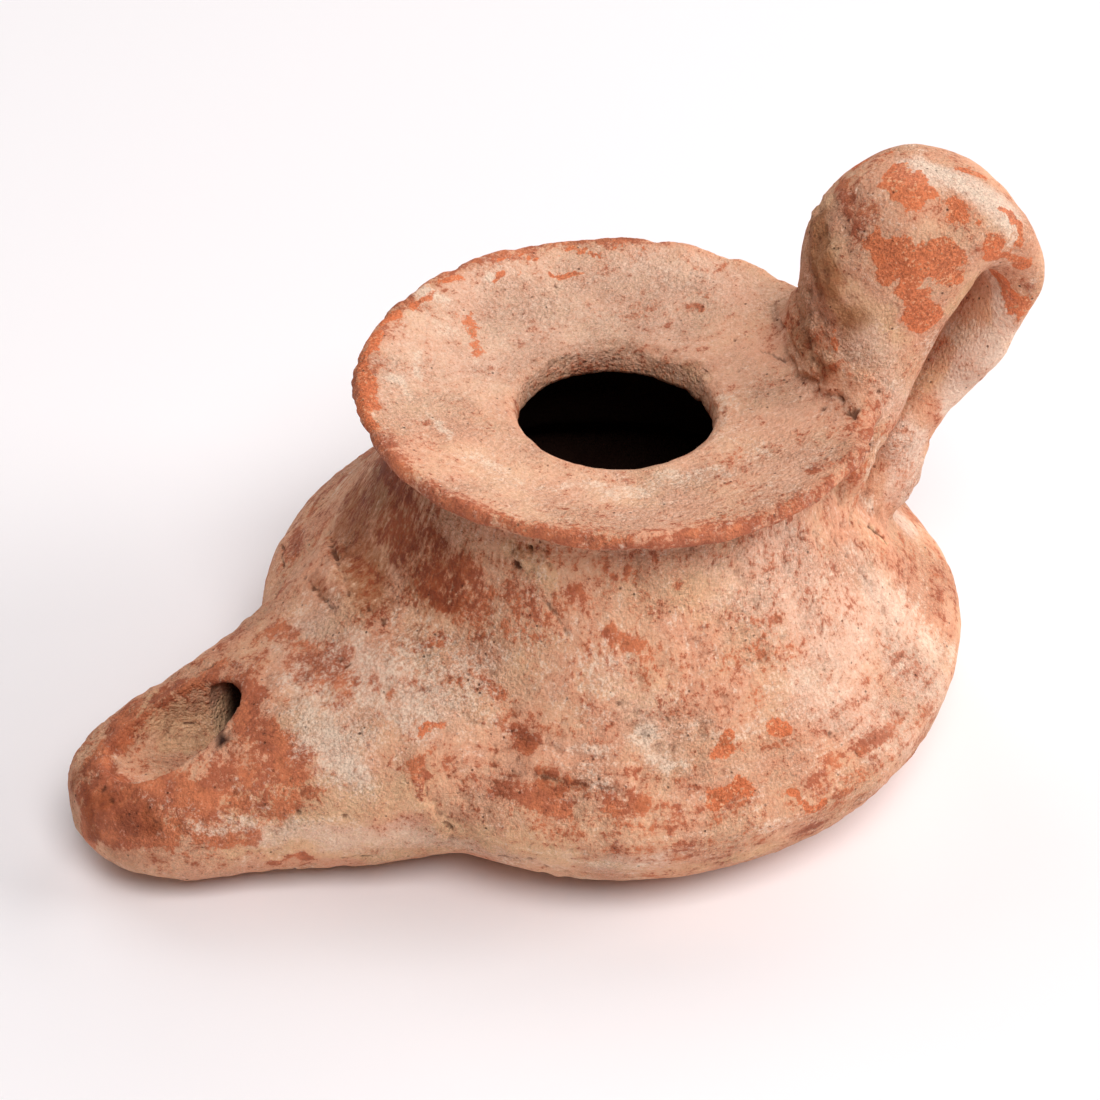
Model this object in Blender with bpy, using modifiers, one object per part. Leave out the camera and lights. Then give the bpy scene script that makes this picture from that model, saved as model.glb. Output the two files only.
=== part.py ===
"""Pottery oil lamp: one hollow fired-clay piece.

World frame: metres, +Z up. The wheel axis is Z at X = Y = 0, the underside of the
base lies at Z = 0, and the nozzle points along -X. The loop handle stands on the
other side, skewed a little towards -Y.
"""

import math

import bmesh
import bpy
from mathutils import Vector

MM = 0.001

# Wheel-thrown body
LAMP_HEIGHT = 44.6 * MM
RIM_RADIUS = 28.9 * MM
LIP_THICKNESS = 2.2 * MM
DISC_DIP = 3.2 * MM
NECK_RADIUS = 22.9 * MM
WAIST_RADIUS = 25.6 * MM
SHOULDER_RADIUS = 33.7 * MM
BELLY_RADIUS = 40.1 * MM
BELLY_HEIGHT = 12.6 * MM
FOOT_RADIUS = 28.0 * MM

# Clay thickness
WALL = 4.0 * MM
FLOOR_THICKNESS = 5.0 * MM
DISC_THICKNESS = 3.8 * MM

# Filling hole in the disc
FILL_RADIUS = 10.9 * MM
FILL_EDGE = 1.4 * MM

# Nozzle, measured from the wheel axis
NOZZLE_REACH = 65.8 * MM
NOZZLE_HALF_WIDTH = 11.8 * MM
NOZZLE_NEAR_FLARE = 11.4 * MM
NOZZLE_FAR_FLARE = 6.0 * MM
NOZZLE_UNDERSIDE = 1.0 * MM
NOZZLE_TOP_AT_ROOT = 26.4 * MM
NOZZLE_TOP_AT_WICK = 17.2 * MM

# Wick passage
BORE_HALF_WIDTH = 5.4 * MM
BORE_HEIGHT = 8.6 * MM
WICK_CENTRE = 56.0 * MM
WICK_OFFSET = 1.2 * MM
WICK_LENGTH = 15.6 * MM
WICK_DEPTH = 4.6 * MM
WICK_RISE_DEG = 12.0

# Loop handle
HANDLE_SKEW_DEG = -13.6
HANDLE_RISE = 22.5 * MM
HANDLE_TOP = LAMP_HEIGHT + HANDLE_RISE
HANDLE_REACH = 45.5 * MM
HANDLE_ROOT_HALF_WIDTH = 11.6 * MM
HANDLE_HALF_WIDTH = 9.4 * MM
HANDLE_FOOT_HALF_WIDTH = 6.4 * MM
HANDLE_SLOT = 3.2 * MM
HANDLE_LEAN = 0.6
STRAP_THICKNESS = 5.4 * MM

# Blending of the joined clay
BLEND_VOXEL = 0.7 * MM
SOFTEN_PASSES = 3
WORK_IN_PASSES = 30
OUTER_TRIANGLES = 6000

# How far from a joint the clay is worked in: fully, and at all
SEAM_NEAR = 3.0 * MM
SEAM_FAR = 7.0 * MM

TURN_STEPS = 48
BASE_CUT = 1.5 * MM


def clear_scene():
    """Remove every object, so that a second run starts from nothing."""
    for item in list(bpy.data.objects):
        bpy.data.objects.remove(item, do_unlink=True)


def new_collection(name):
    """Add a collection to the scene and return it."""
    group = bpy.data.collections.new(name)
    bpy.context.scene.collection.children.link(group)
    return group


def add_object(name, mesh, group):
    """Link a mesh to a collection as a named object."""
    item = bpy.data.objects.new(name, mesh)
    group.objects.link(item)
    return item


def hide_tool(item):
    """Show a cutter or guide as a wire that is never rendered."""
    item.display_type = "WIRE"
    item.hide_render = True


def smooth_curve(points, per_span):
    """Return points on a Catmull-Rom curve through the given 2-D points."""
    out = []
    last = len(points) - 1
    for i in range(last):
        p0 = points[max(i - 1, 0)]
        p1 = points[i]
        p2 = points[i + 1]
        p3 = points[min(i + 2, last)]
        for k in range(per_span):
            t = k / per_span
            out.append(
                tuple(
                    0.5
                    * (
                        2.0 * b
                        + (c - a) * t
                        + (2.0 * a - 5.0 * b + 4.0 * c - d) * t * t
                        + (3.0 * b - a - 3.0 * c + d) * t * t * t
                    )
                    for a, b, c, d in zip(p0, p1, p2, p3)
                )
            )
    out.append(tuple(points[last]))
    return out


def turned(name, profile, group):
    """Turn a profile of (radius, height) points, top to bottom, about Z."""
    mesh = bpy.data.meshes.new(name)
    points = [(radius, 0.0, height) for radius, height in profile]
    edges = [(i, i + 1) for i in range(len(points) - 1)]
    mesh.from_pydata(points, edges, [])
    item = add_object(name, mesh, group)
    screw = item.modifiers.new("turn", "SCREW")
    screw.axis = "Z"
    screw.steps = TURN_STEPS
    screw.render_steps = TURN_STEPS
    screw.use_merge_vertices = True
    screw.merge_threshold = 0.00001
    screw.use_normal_calculate = True
    return item


def loft(name, rings, group):
    """Skin closed rings of equal point count and cap both ends."""
    count = len(rings[0])
    points = [point for ring in rings for point in ring]
    faces = []
    for i in range(len(rings) - 1):
        for k in range(count):
            n = (k + 1) % count
            a = i * count
            b = a + count
            faces.append((a + k, a + n, b + n, b + k))
    faces.append(tuple(range(count - 1, -1, -1)))
    faces.append(tuple((len(rings) - 1) * count + k for k in range(count)))
    mesh = bpy.data.meshes.new(name)
    mesh.from_pydata(points, [], faces)
    item = add_object(name, mesh, group)
    grid = bmesh.new()
    grid.from_mesh(mesh)
    bmesh.ops.recalc_face_normals(grid, faces=grid.faces)
    grid.to_mesh(mesh)
    grid.free()
    return item


def oval(count, half_a, half_b, power):
    """Return the points of a rounded oval; a higher power is squarer."""
    out = []
    for k in range(count):
        angle = 2.0 * math.pi * k / count
        c = math.cos(angle)
        s = math.sin(angle)
        a = half_a * math.copysign(abs(c) ** (2.0 / power), c)
        b = half_b * math.copysign(abs(s) ** (2.0 / power), s)
        out.append((a, b))
    return out


def baked(item):
    """Replace the object's mesh by its evaluated mesh without modifiers."""
    graph = bpy.context.evaluated_depsgraph_get()
    graph.update()
    shape = item.evaluated_get(graph)
    mesh = bpy.data.meshes.new_from_object(shape)
    item.modifiers.clear()
    item.data = mesh
    return item


def combine(item, tool, operation):
    """Apply one exact Boolean of the tool to the object."""
    step = item.modifiers.new(operation.lower(), "BOOLEAN")
    step.operation = operation
    step.solver = "EXACT"
    step.object = tool
    return baked(item)


def body_profile():
    """Outer profile of the wheel-thrown body, from the disc to the base."""
    lip_low = LAMP_HEIGHT - LIP_THICKNESS
    dip = LAMP_HEIGHT - DISC_DIP
    neck_height = lip_low - 0.7 * LIP_THICKNESS
    rise = neck_height - BELLY_HEIGHT
    disc = [
        (0.0, dip),
        (FILL_RADIUS, dip),
        (FILL_RADIUS + 0.45 * (RIM_RADIUS - FILL_RADIUS), dip + 0.30 * DISC_DIP),
        (FILL_RADIUS + 0.78 * (RIM_RADIUS - FILL_RADIUS), dip + 0.82 * DISC_DIP),
        (RIM_RADIUS - 0.60 * LIP_THICKNESS, LAMP_HEIGHT),
        (RIM_RADIUS, LAMP_HEIGHT - 0.45 * LIP_THICKNESS),
        (RIM_RADIUS - 0.25 * LIP_THICKNESS, lip_low),
        (NECK_RADIUS + 0.40 * (RIM_RADIUS - NECK_RADIUS), lip_low - 0.45 * LIP_THICKNESS),
        (NECK_RADIUS, neck_height - 0.9 * LIP_THICKNESS),
        (WAIST_RADIUS, BELLY_HEIGHT + 0.68 * rise),
        (0.5 * (WAIST_RADIUS + SHOULDER_RADIUS) - 0.6 * MM, BELLY_HEIGHT + 0.46 * rise),
        (SHOULDER_RADIUS, BELLY_HEIGHT + 0.255 * rise),
        (BELLY_RADIUS - 1.4 * MM, BELLY_HEIGHT + 0.10 * rise),
        (BELLY_RADIUS, BELLY_HEIGHT),
        (BELLY_RADIUS - 0.19 * (BELLY_RADIUS - FOOT_RADIUS), 0.52 * BELLY_HEIGHT),
        (BELLY_RADIUS - 0.52 * (BELLY_RADIUS - FOOT_RADIUS), 0.24 * BELLY_HEIGHT),
        (FOOT_RADIUS, 0.0),
        (FOOT_RADIUS - 1.5 * MM, -BASE_CUT),
    ]
    curve = smooth_curve(disc[1:], 4)
    return [disc[0]] + curve + [(0.0, -BASE_CUT)]


def make_body(group):
    """Solid body before it is hollowed."""
    return baked(turned("thrown_body", body_profile(), group))


def nozzle_stations():
    """Stations of the nozzle: distance, -Y half, +Y half, underside, top."""
    tip = NOZZLE_REACH
    span = tip - BELLY_RADIUS
    half = NOZZLE_HALF_WIDTH
    near = NOZZLE_NEAR_FLARE
    far = NOZZLE_FAR_FLARE
    low = NOZZLE_UNDERSIDE
    top = NOZZLE_TOP_AT_ROOT
    wick = NOZZLE_TOP_AT_WICK
    drop = (top - wick) / span
    return [
        (0.45 * BELLY_RADIUS, half + near, half + far, low + 3.0 * MM, top + 2.4 * MM),
        (0.75 * BELLY_RADIUS, half + near, half + far, low + 0.8 * MM, top),
        (tip - 1.10 * span, half + 0.74 * near, half + 0.50 * far, low, wick + 0.60 * span * drop),
        (tip - 0.92 * span, half + 0.50 * near, half + 0.20 * far, low, wick + 0.44 * span * drop),
        (tip - 0.70 * span, half + 0.24 * near, half - 0.02 * far, low, wick + 0.25 * span * drop),
        (tip - 0.48 * span, half + 0.04 * near, 0.94 * half, low, wick + 0.02 * span * drop),
        (tip - 0.30 * span, 0.90 * half, 0.88 * half, low + 0.7 * MM, wick - 0.17 * span * drop),
        (tip - 0.15 * span, 0.70 * half, 0.70 * half, low + 1.9 * MM, wick - 0.33 * span * drop),
        (tip - 0.05 * span, 0.46 * half, 0.46 * half, low + 3.4 * MM, wick - 0.47 * span * drop),
        (tip, 0.17 * half, 0.17 * half, low + 5.0 * MM, wick - 0.62 * span * drop),
    ]


def make_nozzle(group):
    """Tubular nozzle with a blunt rounded tip, solid before it is bored."""
    rings = []
    for distance, near, far, low, top in smooth_curve(nozzle_stations(), 3):
        middle = 0.5 * (low + top)
        side = 0.5 * (far - near)
        ring = oval(32, 0.5 * (near + far), 0.5 * (top - low), 2.4)
        rings.append([(-distance, side + a, middle + b) for a, b in ring])
    return loft("nozzle", rings, group)


def handle_stations():
    """Stations of the handle in its own plane.

    Each one is the outer point, the slot-side point, the half-width and how far the
    nearer edge of the strap leans outwards, as a share of half its thickness.
    """
    rise = HANDLE_RISE
    out = HANDLE_REACH
    rim = RIM_RADIUS
    h = LAMP_HEIGHT
    root = HANDLE_ROOT_HALF_WIDTH
    half = HANDLE_HALF_WIDTH
    foot = HANDLE_FOOT_HALF_WIDTH
    ankle = 0.5 * (half + foot)
    t = STRAP_THICKNESS
    gap = HANDLE_SLOT
    lean = HANDLE_LEAN
    back = out - t
    front = back - gap
    return [
        ((0.56 * rim, h - 0.34 * rim), (0.92 * rim, h - 0.50 * rim), root, 0.0),
        ((0.69 * rim, h - 0.12 * rim), (rim - 0.6 * MM, h - 0.40 * rise), root, 0.0),
        ((0.74 * rim, h + 0.06 * rise), (front - 5.6 * MM, h - 0.20 * rise), 0.5 * (root + half), 0.0),
        ((0.73 * rim, h + 0.30 * rise), (front - 3.2 * MM, h + 0.02 * rise), half, 0.0),
        ((0.745 * rim, h + 0.57 * rise), (front - 1.2 * MM, h + 0.21 * rise), half, 0.0),
        ((0.825 * rim, h + 0.80 * rise), (front + 0.2 * MM, h + 0.33 * rise), half, 0.0),
        ((0.95 * rim, h + 0.94 * rise), (front + 1.3 * MM, h + 0.42 * rise), half, 0.0),
        ((1.11 * rim, HANDLE_TOP), (back - 0.50 * gap, h + 0.475 * rise), 0.98 * half, 0.0),
        ((out - 0.34 * rim, h + 0.98 * rise), (back - 0.28 * gap, h + 0.485 * rise), 0.95 * half, 0.2 * lean),
        ((out - 0.20 * rim, h + 0.91 * rise), (back - 0.12 * gap, h + 0.47 * rise), 0.92 * half, 0.5 * lean),
        ((out - 0.075 * rim, h + 0.78 * rise), (back - 0.03 * gap, h + 0.43 * rise), 0.90 * half, 0.8 * lean),
        ((out - 0.015 * rim, h + 0.61 * rise), (back, h + 0.37 * rise), 0.88 * half, lean),
        ((out, h + 0.42 * rise), (back - 0.2 * MM, h + 0.29 * rise), 0.86 * half, lean),
        ((out - 0.05 * rim, h + 0.23 * rise), (back - 1.1 * MM, h + 0.18 * rise), 0.84 * half, 0.8 * lean),
        ((out - 0.09 * rim, h + 0.03 * rise), (back - 3.2 * MM, h + 0.03 * rise), ankle, 0.5 * lean),
        ((out - 0.125 * rim, h - 0.15 * rise), (back - 5.9 * MM, h - 0.15 * rise), foot, 0.2 * lean),
        ((out - 0.228 * rim, h - 0.33 * rise), (rim + 0.6 * MM, h - 0.32 * rise), foot, 0.0),
        ((out - 0.294 * rim, h - 0.52 * rise), (0.90 * rim, h - 0.54 * rise), foot, 0.0),
        ((out - 0.322 * rim, h - 0.74 * rise), (0.84 * rim, h - 0.76 * rise), foot, 0.0),
        ((out - 0.353 * rim, h - 0.89 * rise), (0.84 * rim, h - 0.89 * rise), 0.85 * foot, 0.0),
        ((out - 0.467 * rim, h - 1.02 * rise), (0.78 * rim, h - 0.98 * rise), 0.6 * foot, 0.0),
    ]


def make_handle(group):
    """Thick strap bent into a loop with a narrow slot, rim to shoulder."""
    skew = math.radians(HANDLE_SKEW_DEG)
    along = Vector((math.cos(skew), math.sin(skew), 0.0))
    across = Vector((-math.sin(skew), math.cos(skew), 0.0))
    rings = []
    flat = [outer + inner + (half, lean) for outer, inner, half, lean in handle_stations()]
    for ou, oz, iu, iz, half, lean in smooth_curve(flat, 2):
        outer = along * ou + Vector((0.0, 0.0, oz))
        inner = along * iu + Vector((0.0, 0.0, iz))
        middle = (outer + inner) * 0.5
        thick = (outer - inner) * 0.5
        ring = []
        for a, b in oval(24, 1.0, half, 2.15):
            nearer = max(-b / half, 0.0)
            ring.append(tuple(middle + thick * (a + lean * nearer * nearer) + across * b))
        rings.append(ring)
    return loft("handle", rings, group)


def gather(name, pieces, group):
    """Put the overlapping meshes of several pieces into one object."""
    grid = bmesh.new()
    for piece in pieces:
        grid.from_mesh(piece.data)
    mesh = bpy.data.meshes.new(name)
    grid.to_mesh(mesh)
    grid.free()
    return add_object(name, mesh, group)


def ramp(value, start, end):
    """Rise smoothly from 0 at start to 1 at end."""
    t = min(max((value - start) / (end - start), 0.0), 1.0)
    return t * t * (3.0 - 2.0 * t)


def seam_weight(point):
    """How strongly the clay is worked in at a point: 1 along the joints."""
    skew = math.radians(HANDLE_SKEW_DEG)
    out = point.x * math.cos(skew) + point.y * math.sin(skew)
    radius = math.hypot(point.x, point.y)
    nozzle = ramp(-point.x, 0.45 * BELLY_RADIUS, 0.70 * BELLY_RADIUS)
    nozzle *= 1.0 - ramp(radius, BELLY_RADIUS, BELLY_RADIUS + SEAM_FAR)
    nozzle *= 1.0 - ramp(point.z, NOZZLE_TOP_AT_ROOT + SEAM_NEAR, NOZZLE_TOP_AT_ROOT + SEAM_FAR)
    root = Vector((out - 0.75 * RIM_RADIUS, point.z - LAMP_HEIGHT)).length
    foot = Vector((out - 1.10 * RIM_RADIUS, point.z - 0.53 * LAMP_HEIGHT)).length
    aside = abs(point.y - out * math.sin(skew)) - HANDLE_ROOT_HALF_WIDTH
    side = 1.0 - ramp(aside, SEAM_NEAR, SEAM_FAR)
    handle = side * max(1.0 - ramp(root, SEAM_NEAR, SEAM_FAR), 1.0 - ramp(foot, SEAM_NEAR, SEAM_FAR))
    return max(nozzle, handle)


def blend(item):
    """Run the overlapping clay together and bring it to an even triangle size."""
    remesh = item.modifiers.new("blend", "REMESH")
    remesh.mode = "VOXEL"
    remesh.voxel_size = BLEND_VOXEL
    baked(item)
    seam = item.vertex_groups.new(name="seam")
    for corner in item.data.vertices:
        weight = seam_weight(corner.co)
        if weight > 0.0:
            seam.add([corner.index], weight, "REPLACE")
    soften = item.modifiers.new("soften", "SMOOTH")
    soften.factor = 0.5
    soften.iterations = SOFTEN_PASSES
    work_in = item.modifiers.new("work_in", "SMOOTH")
    work_in.factor = 0.5
    work_in.iterations = WORK_IN_PASSES
    work_in.vertex_group = "seam"
    baked(item)
    item.vertex_groups.clear()
    faces = sum(len(face.vertices) - 2 for face in item.data.polygons)
    thin = item.modifiers.new("thin", "DECIMATE")
    thin.decimate_type = "COLLAPSE"
    thin.ratio = OUTER_TRIANGLES / faces
    thin.use_collapse_triangulate = True
    return baked(item)


def cut_base(item, group):
    """Cut the underside flat at Z = 0."""
    mesh = bpy.data.meshes.new("base_cut")
    grid = bmesh.new()
    bmesh.ops.create_cube(grid, size=1.0)
    wide = 4.0 * NOZZLE_REACH
    for corner in grid.verts:
        corner.co.x *= wide
        corner.co.y *= wide
        corner.co.z = (corner.co.z - 0.5) * 4.0 * BASE_CUT
    grid.to_mesh(mesh)
    grid.free()
    tool = add_object("base_cut", mesh, group)
    hide_tool(tool)
    return combine(item, tool, "DIFFERENCE")


def cavity_profile():
    """Profile of the reservoir and filling hole, from above the disc down."""
    disc = LAMP_HEIGHT - DISC_DIP
    ceiling = disc - DISC_THICKNESS
    neck = NECK_RADIUS - WALL
    rise = ceiling - BELLY_HEIGHT
    hole = smooth_curve(
        [
            (FILL_RADIUS + 3.0 * FILL_EDGE, disc + 1.5 * FILL_EDGE),
            (FILL_RADIUS + 1.15 * FILL_EDGE, disc + 0.1 * FILL_EDGE),
            (FILL_RADIUS + 0.3 * FILL_EDGE, disc - 0.5 * FILL_EDGE),
            (FILL_RADIUS, disc - 1.4 * FILL_EDGE),
        ],
        2,
    )
    inside = smooth_curve(
        [
            (FILL_RADIUS + 0.5 * FILL_EDGE, ceiling),
            (0.5 * (FILL_RADIUS + neck) + 1.2 * MM, ceiling - 0.2 * MM),
            (neck - 0.6 * MM, ceiling - 1.6 * MM),
            (neck + 0.3 * MM, ceiling - 0.16 * rise),
            (WAIST_RADIUS - WALL, BELLY_HEIGHT + 0.66 * rise),
            (0.5 * (WAIST_RADIUS + SHOULDER_RADIUS) - WALL - 0.8 * MM, BELLY_HEIGHT + 0.42 * rise),
            (SHOULDER_RADIUS - WALL - 0.8 * MM, BELLY_HEIGHT + 0.20 * rise),
            (BELLY_RADIUS - WALL, BELLY_HEIGHT),
            (BELLY_RADIUS - WALL - 2.6 * MM, 0.5 * (BELLY_HEIGHT + FLOOR_THICKNESS)),
            (FOOT_RADIUS, FLOOR_THICKNESS + 0.7 * MM),
            (FOOT_RADIUS - 6.0 * MM, FLOOR_THICKNESS),
        ],
        2,
    )
    above = (FILL_RADIUS + 3.0 * FILL_EDGE, LAMP_HEIGHT + 2.0 * MM)
    return [(0.0, above[1]), above] + hole + inside + [(0.0, FLOOR_THICKNESS)]


def make_cavity(group):
    """Cutter for the reservoir with the filling hole."""
    item = baked(turned("reservoir_cut", cavity_profile(), group))
    hide_tool(item)
    return item


def bore_stations():
    """Stations of the wick passage: distance, -Y half, +Y half, floor, top."""
    slope = math.tan(math.radians(WICK_RISE_DEG))
    inner = WICK_CENTRE - 0.5 * WICK_LENGTH
    half = BORE_HALF_WIDTH
    low = FLOOR_THICKNESS
    clear = NOZZLE_TOP_AT_ROOT
    bed = NOZZLE_TOP_AT_WICK - WICK_DEPTH
    lip = bed - (WICK_CENTRE - inner) * slope - 0.5 * MM
    past = NOZZLE_REACH + WALL
    return [
        (0.50 * BELLY_RADIUS, 3.0 * half, 2.7 * half, low + 0.6 * MM, low + 1.3 * BORE_HEIGHT),
        (0.84 * BELLY_RADIUS, 2.5 * half, 2.1 * half, low + 1.0 * MM, low + 1.15 * BORE_HEIGHT),
        (inner - 5.5 * MM, 1.5 * half, 1.2 * half, 0.5 * (low + lip), low + 1.18 * BORE_HEIGHT),
        (inner - 1.2 * MM, 1.05 * half, half, lip, low + 1.30 * BORE_HEIGHT),
        (inner + 1.2 * MM, half, half, lip + 0.8 * MM, clear),
        (WICK_CENTRE, half, half, bed, clear),
        (NOZZLE_REACH, 0.9 * half, 0.9 * half, bed + (NOZZLE_REACH - WICK_CENTRE) * slope, clear + 2.0 * MM),
        (past, 0.9 * half, 0.9 * half, bed + (past - WICK_CENTRE) * slope, clear + 3.0 * MM),
    ]


def make_bore(group):
    """Cutter for the wick passage: level inside, rising out through the top."""
    rings = []
    for distance, near, far, floor, top in smooth_curve(bore_stations(), 2):
        side = 0.5 * (far - near) - WICK_OFFSET
        middle = 0.5 * (floor + top)
        ring = oval(24, 0.5 * (near + far), 0.5 * (top - floor), 2.1)
        rings.append([(-distance, side + a, middle + b) for a, b in ring])
    item = loft("wick_cut", rings, group)
    hide_tool(item)
    return item


def fired_clay():
    """Pinkish buff fired clay."""
    clay = bpy.data.materials.new("fired_clay")
    clay.use_nodes = True
    shader = clay.node_tree.nodes["Principled BSDF"]
    shader.inputs["Base Color"].default_value = (0.56, 0.29, 0.19, 1.0)
    shader.inputs["Roughness"].default_value = 0.85
    return clay


def main():
    """Build the lamp."""
    clear_scene()
    parts = new_collection("pottery_oil_lamp")
    tools = new_collection("cutters")

    clay = [make_body(tools), make_nozzle(tools), make_handle(tools)]
    for piece in clay:
        hide_tool(piece)
    lamp = blend(gather("lamp_body", clay, parts))
    cut_base(lamp, tools)
    combine(lamp, make_cavity(tools), "DIFFERENCE")
    combine(lamp, make_bore(tools), "DIFFERENCE")

    lamp.data.materials.clear()
    lamp.data.materials.append(fired_clay())
    lamp.data.name = "lamp_body"
    for face in lamp.data.polygons:
        face.use_smooth = True
        face.material_index = 0


main()
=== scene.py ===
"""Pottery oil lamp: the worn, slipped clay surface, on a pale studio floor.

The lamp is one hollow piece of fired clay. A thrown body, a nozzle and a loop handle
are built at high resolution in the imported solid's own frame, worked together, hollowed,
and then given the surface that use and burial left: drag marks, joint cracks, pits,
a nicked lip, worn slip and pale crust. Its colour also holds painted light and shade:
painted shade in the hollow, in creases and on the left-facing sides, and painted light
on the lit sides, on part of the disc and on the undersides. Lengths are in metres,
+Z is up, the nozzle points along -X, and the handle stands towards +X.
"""

from __future__ import annotations

import logging
import math
from dataclasses import dataclass
from enum import Enum, IntEnum
from typing import Iterable, Sequence

import bmesh
import bpy
import numpy as np
from mathutils import Matrix, Vector

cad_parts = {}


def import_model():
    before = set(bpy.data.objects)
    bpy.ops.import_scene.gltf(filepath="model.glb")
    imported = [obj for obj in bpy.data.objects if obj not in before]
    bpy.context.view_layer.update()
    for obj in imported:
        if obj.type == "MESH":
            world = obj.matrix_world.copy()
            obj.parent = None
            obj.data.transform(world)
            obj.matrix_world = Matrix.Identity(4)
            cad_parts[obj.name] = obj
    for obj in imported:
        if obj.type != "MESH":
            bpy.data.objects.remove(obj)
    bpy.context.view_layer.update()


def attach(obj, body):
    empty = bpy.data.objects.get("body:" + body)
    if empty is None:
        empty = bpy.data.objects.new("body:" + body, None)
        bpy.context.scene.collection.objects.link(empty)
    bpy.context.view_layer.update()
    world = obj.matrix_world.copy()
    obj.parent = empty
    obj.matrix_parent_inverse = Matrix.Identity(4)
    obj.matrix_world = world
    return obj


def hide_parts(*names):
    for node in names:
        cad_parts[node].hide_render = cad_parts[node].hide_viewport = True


LOG = logging.getLogger("oil_lamp")
MM = 0.001

Point2 = tuple[float, float]
Point3 = tuple[float, float, float]
Colour = tuple[float, float, float, float]

LATTICE_STEPS = (73856093, 19349663, 83492791)
LATTICE_MIX = (2654435761, 2246822519, 3266489917)
WORD = 0xFFFFFFFF


class Coat(Enum):
    """What lies on the clay at a spot; the value names the mesh attribute."""

    SLIP = "slip"
    FRESH = "fresh"
    CRUST = "crust"
    # partly sandy clay, partly painted bounce light on the undersides
    BUFF_AND_BOUNCE = "buff"
    # partly real smoke, partly painted shade on the left-facing sides
    SMOKE_AND_SHADE = "smoke_and_shade"
    # partly pale clay, partly painted light on the lit sides
    PALE_AND_LIT = "pale"


class Field(IntEnum):
    """Seeds of the random fields, one for each use."""

    HAND = 1
    UNEVEN = 2
    SCRAPE = 3
    TURNING = 5
    OPENNESS = 8
    LIP_OUT = 11
    LIP_NICK = 12
    LIP_UP = 13
    CRUMBLE = 21
    LEDGE = 22
    FLAW_WARP = 31
    COAT_WARP = 40
    WASH_BROAD = 61
    WASH_FINE = 62
    CRUST = 63
    BUFF_AND_BOUNCE = 64
    TONE = 65
    WEATHER = 71
    RUGGED = 72
    POCKS = 73


class Along(Enum):
    """What a fade is measured along, in millimetres."""

    HEIGHT = "height above the base"
    RADIUS = "distance from the wheel axis"
    NOZZLE = "distance towards the nozzle"


Zone = dict[Along, tuple[Point2, ...]]


def smooth_curve(points: Sequence[tuple[float, ...]], per_span: int) -> list[tuple[float, ...]]:
    """Run a Catmull-Rom curve through points of any dimension.

    Args:
        points: The points to pass through, in order.
        per_span: How many steps each span is cut into.

    Returns:
        The points of the curve, the given ones included.
    """
    out: list[tuple[float, ...]] = []
    last = len(points) - 1
    for i in range(last):
        before = points[max(i - 1, 0)]
        start = points[i]
        end = points[i + 1]
        after = points[min(i + 2, last)]
        for k in range(per_span):
            t = k / per_span
            out.append(
                tuple(
                    0.5
                    * (
                        2.0 * b
                        + (c - a) * t
                        + (2.0 * a - 5.0 * b + 4.0 * c - d) * t * t
                        + (3.0 * b - a - 3.0 * c + d) * t * t * t
                    )
                    for a, b, c, d in zip(before, start, end, after)
                )
            )
    out.append(tuple(points[last]))
    return out


def ramp(value: np.ndarray, start: float, end: float) -> np.ndarray:
    """Rise smoothly from 0 at start to 1 at end; start may be the larger one."""
    t = np.clip((value - start) / (end - start), 0.0, 1.0)
    return t * t * (3.0 - 2.0 * t)


def cloud(points: np.ndarray, size: float, seed: int, octaves: int = 3) -> np.ndarray:
    """Smooth random field over space, made from lattice gradients.

    Args:
        points: N by 3 array of places.
        size: Width of the largest lumps, in the points' unit.
        seed: Which field.
        octaves: How many times finer lumps of half the size and strength are added.

    Returns:
        N values, mostly between -1 and 1.
    """
    total = np.zeros(len(points))
    strength = 1.0
    for octave in range(octaves):
        p = points / size * 2.0**octave + 17.3 * (octave + 1)
        cell = np.floor(p).astype(np.int64)
        part = p - cell
        fade = part * part * part * (part * (part * 6.0 - 15.0) + 10.0)
        value = np.zeros(len(points))
        for corner in range(8):
            step = np.array([corner & 1, (corner >> 1) & 1, (corner >> 2) & 1])
            at = cell + step
            key = np.bitwise_xor.reduce(at * np.array(LATTICE_STEPS), axis=1)
            key = (key ^ (seed + 31 * octave) * LATTICE_MIX[0]) & WORD
            key = ((key ^ (key >> 15)) * LATTICE_MIX[1]) & WORD
            key = ((key ^ (key >> 13)) * LATTICE_MIX[2]) & WORD
            key ^= key >> 16
            slope = np.stack([(key >> s & 0x3FF) / 511.5 - 1.0 for s in (0, 10, 20)], axis=1)
            away = part - step
            weight = np.prod(np.where(step == 1, fade, 1.0 - fade), axis=1)
            value += weight * np.sum(slope * away, axis=1)
        total += strength * value * 1.6
        strength *= 0.5
    return total


@dataclass(frozen=True)
class Lumps:
    """A random field in use: its strength, the width of its largest lumps, seed and octaves."""

    strength: float
    size: float
    field: Field
    octaves: int

    def at(self, places: np.ndarray) -> np.ndarray:
        """Its values at the places."""
        return self.strength * cloud(places, self.size, self.field, self.octaves)

    def moved(self, places: np.ndarray) -> np.ndarray:
        """The places, each moved by a random vector."""
        push = [cloud(places, self.size, self.field + axis, self.octaves) for axis in range(3)]
        return places + self.strength * np.stack(push, axis=1)


def zone(p: np.ndarray, limits: Zone) -> np.ndarray:
    """Share of one part of the lamp at each place: the product of its fades.

    Args:
        p: Places in millimetres.
        limits: For each measure, the start and end of its fades.

    Returns:
        One share for each place.
    """
    reach = {Along.HEIGHT: p[:, 2], Along.RADIUS: np.hypot(p[:, 0], p[:, 1]), Along.NOZZLE: -p[:, 0]}
    share = np.ones(len(p))
    for along, fades in limits.items():
        for start, end in fades:
            share *= ramp(reach[along], start, end)
    return share


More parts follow.
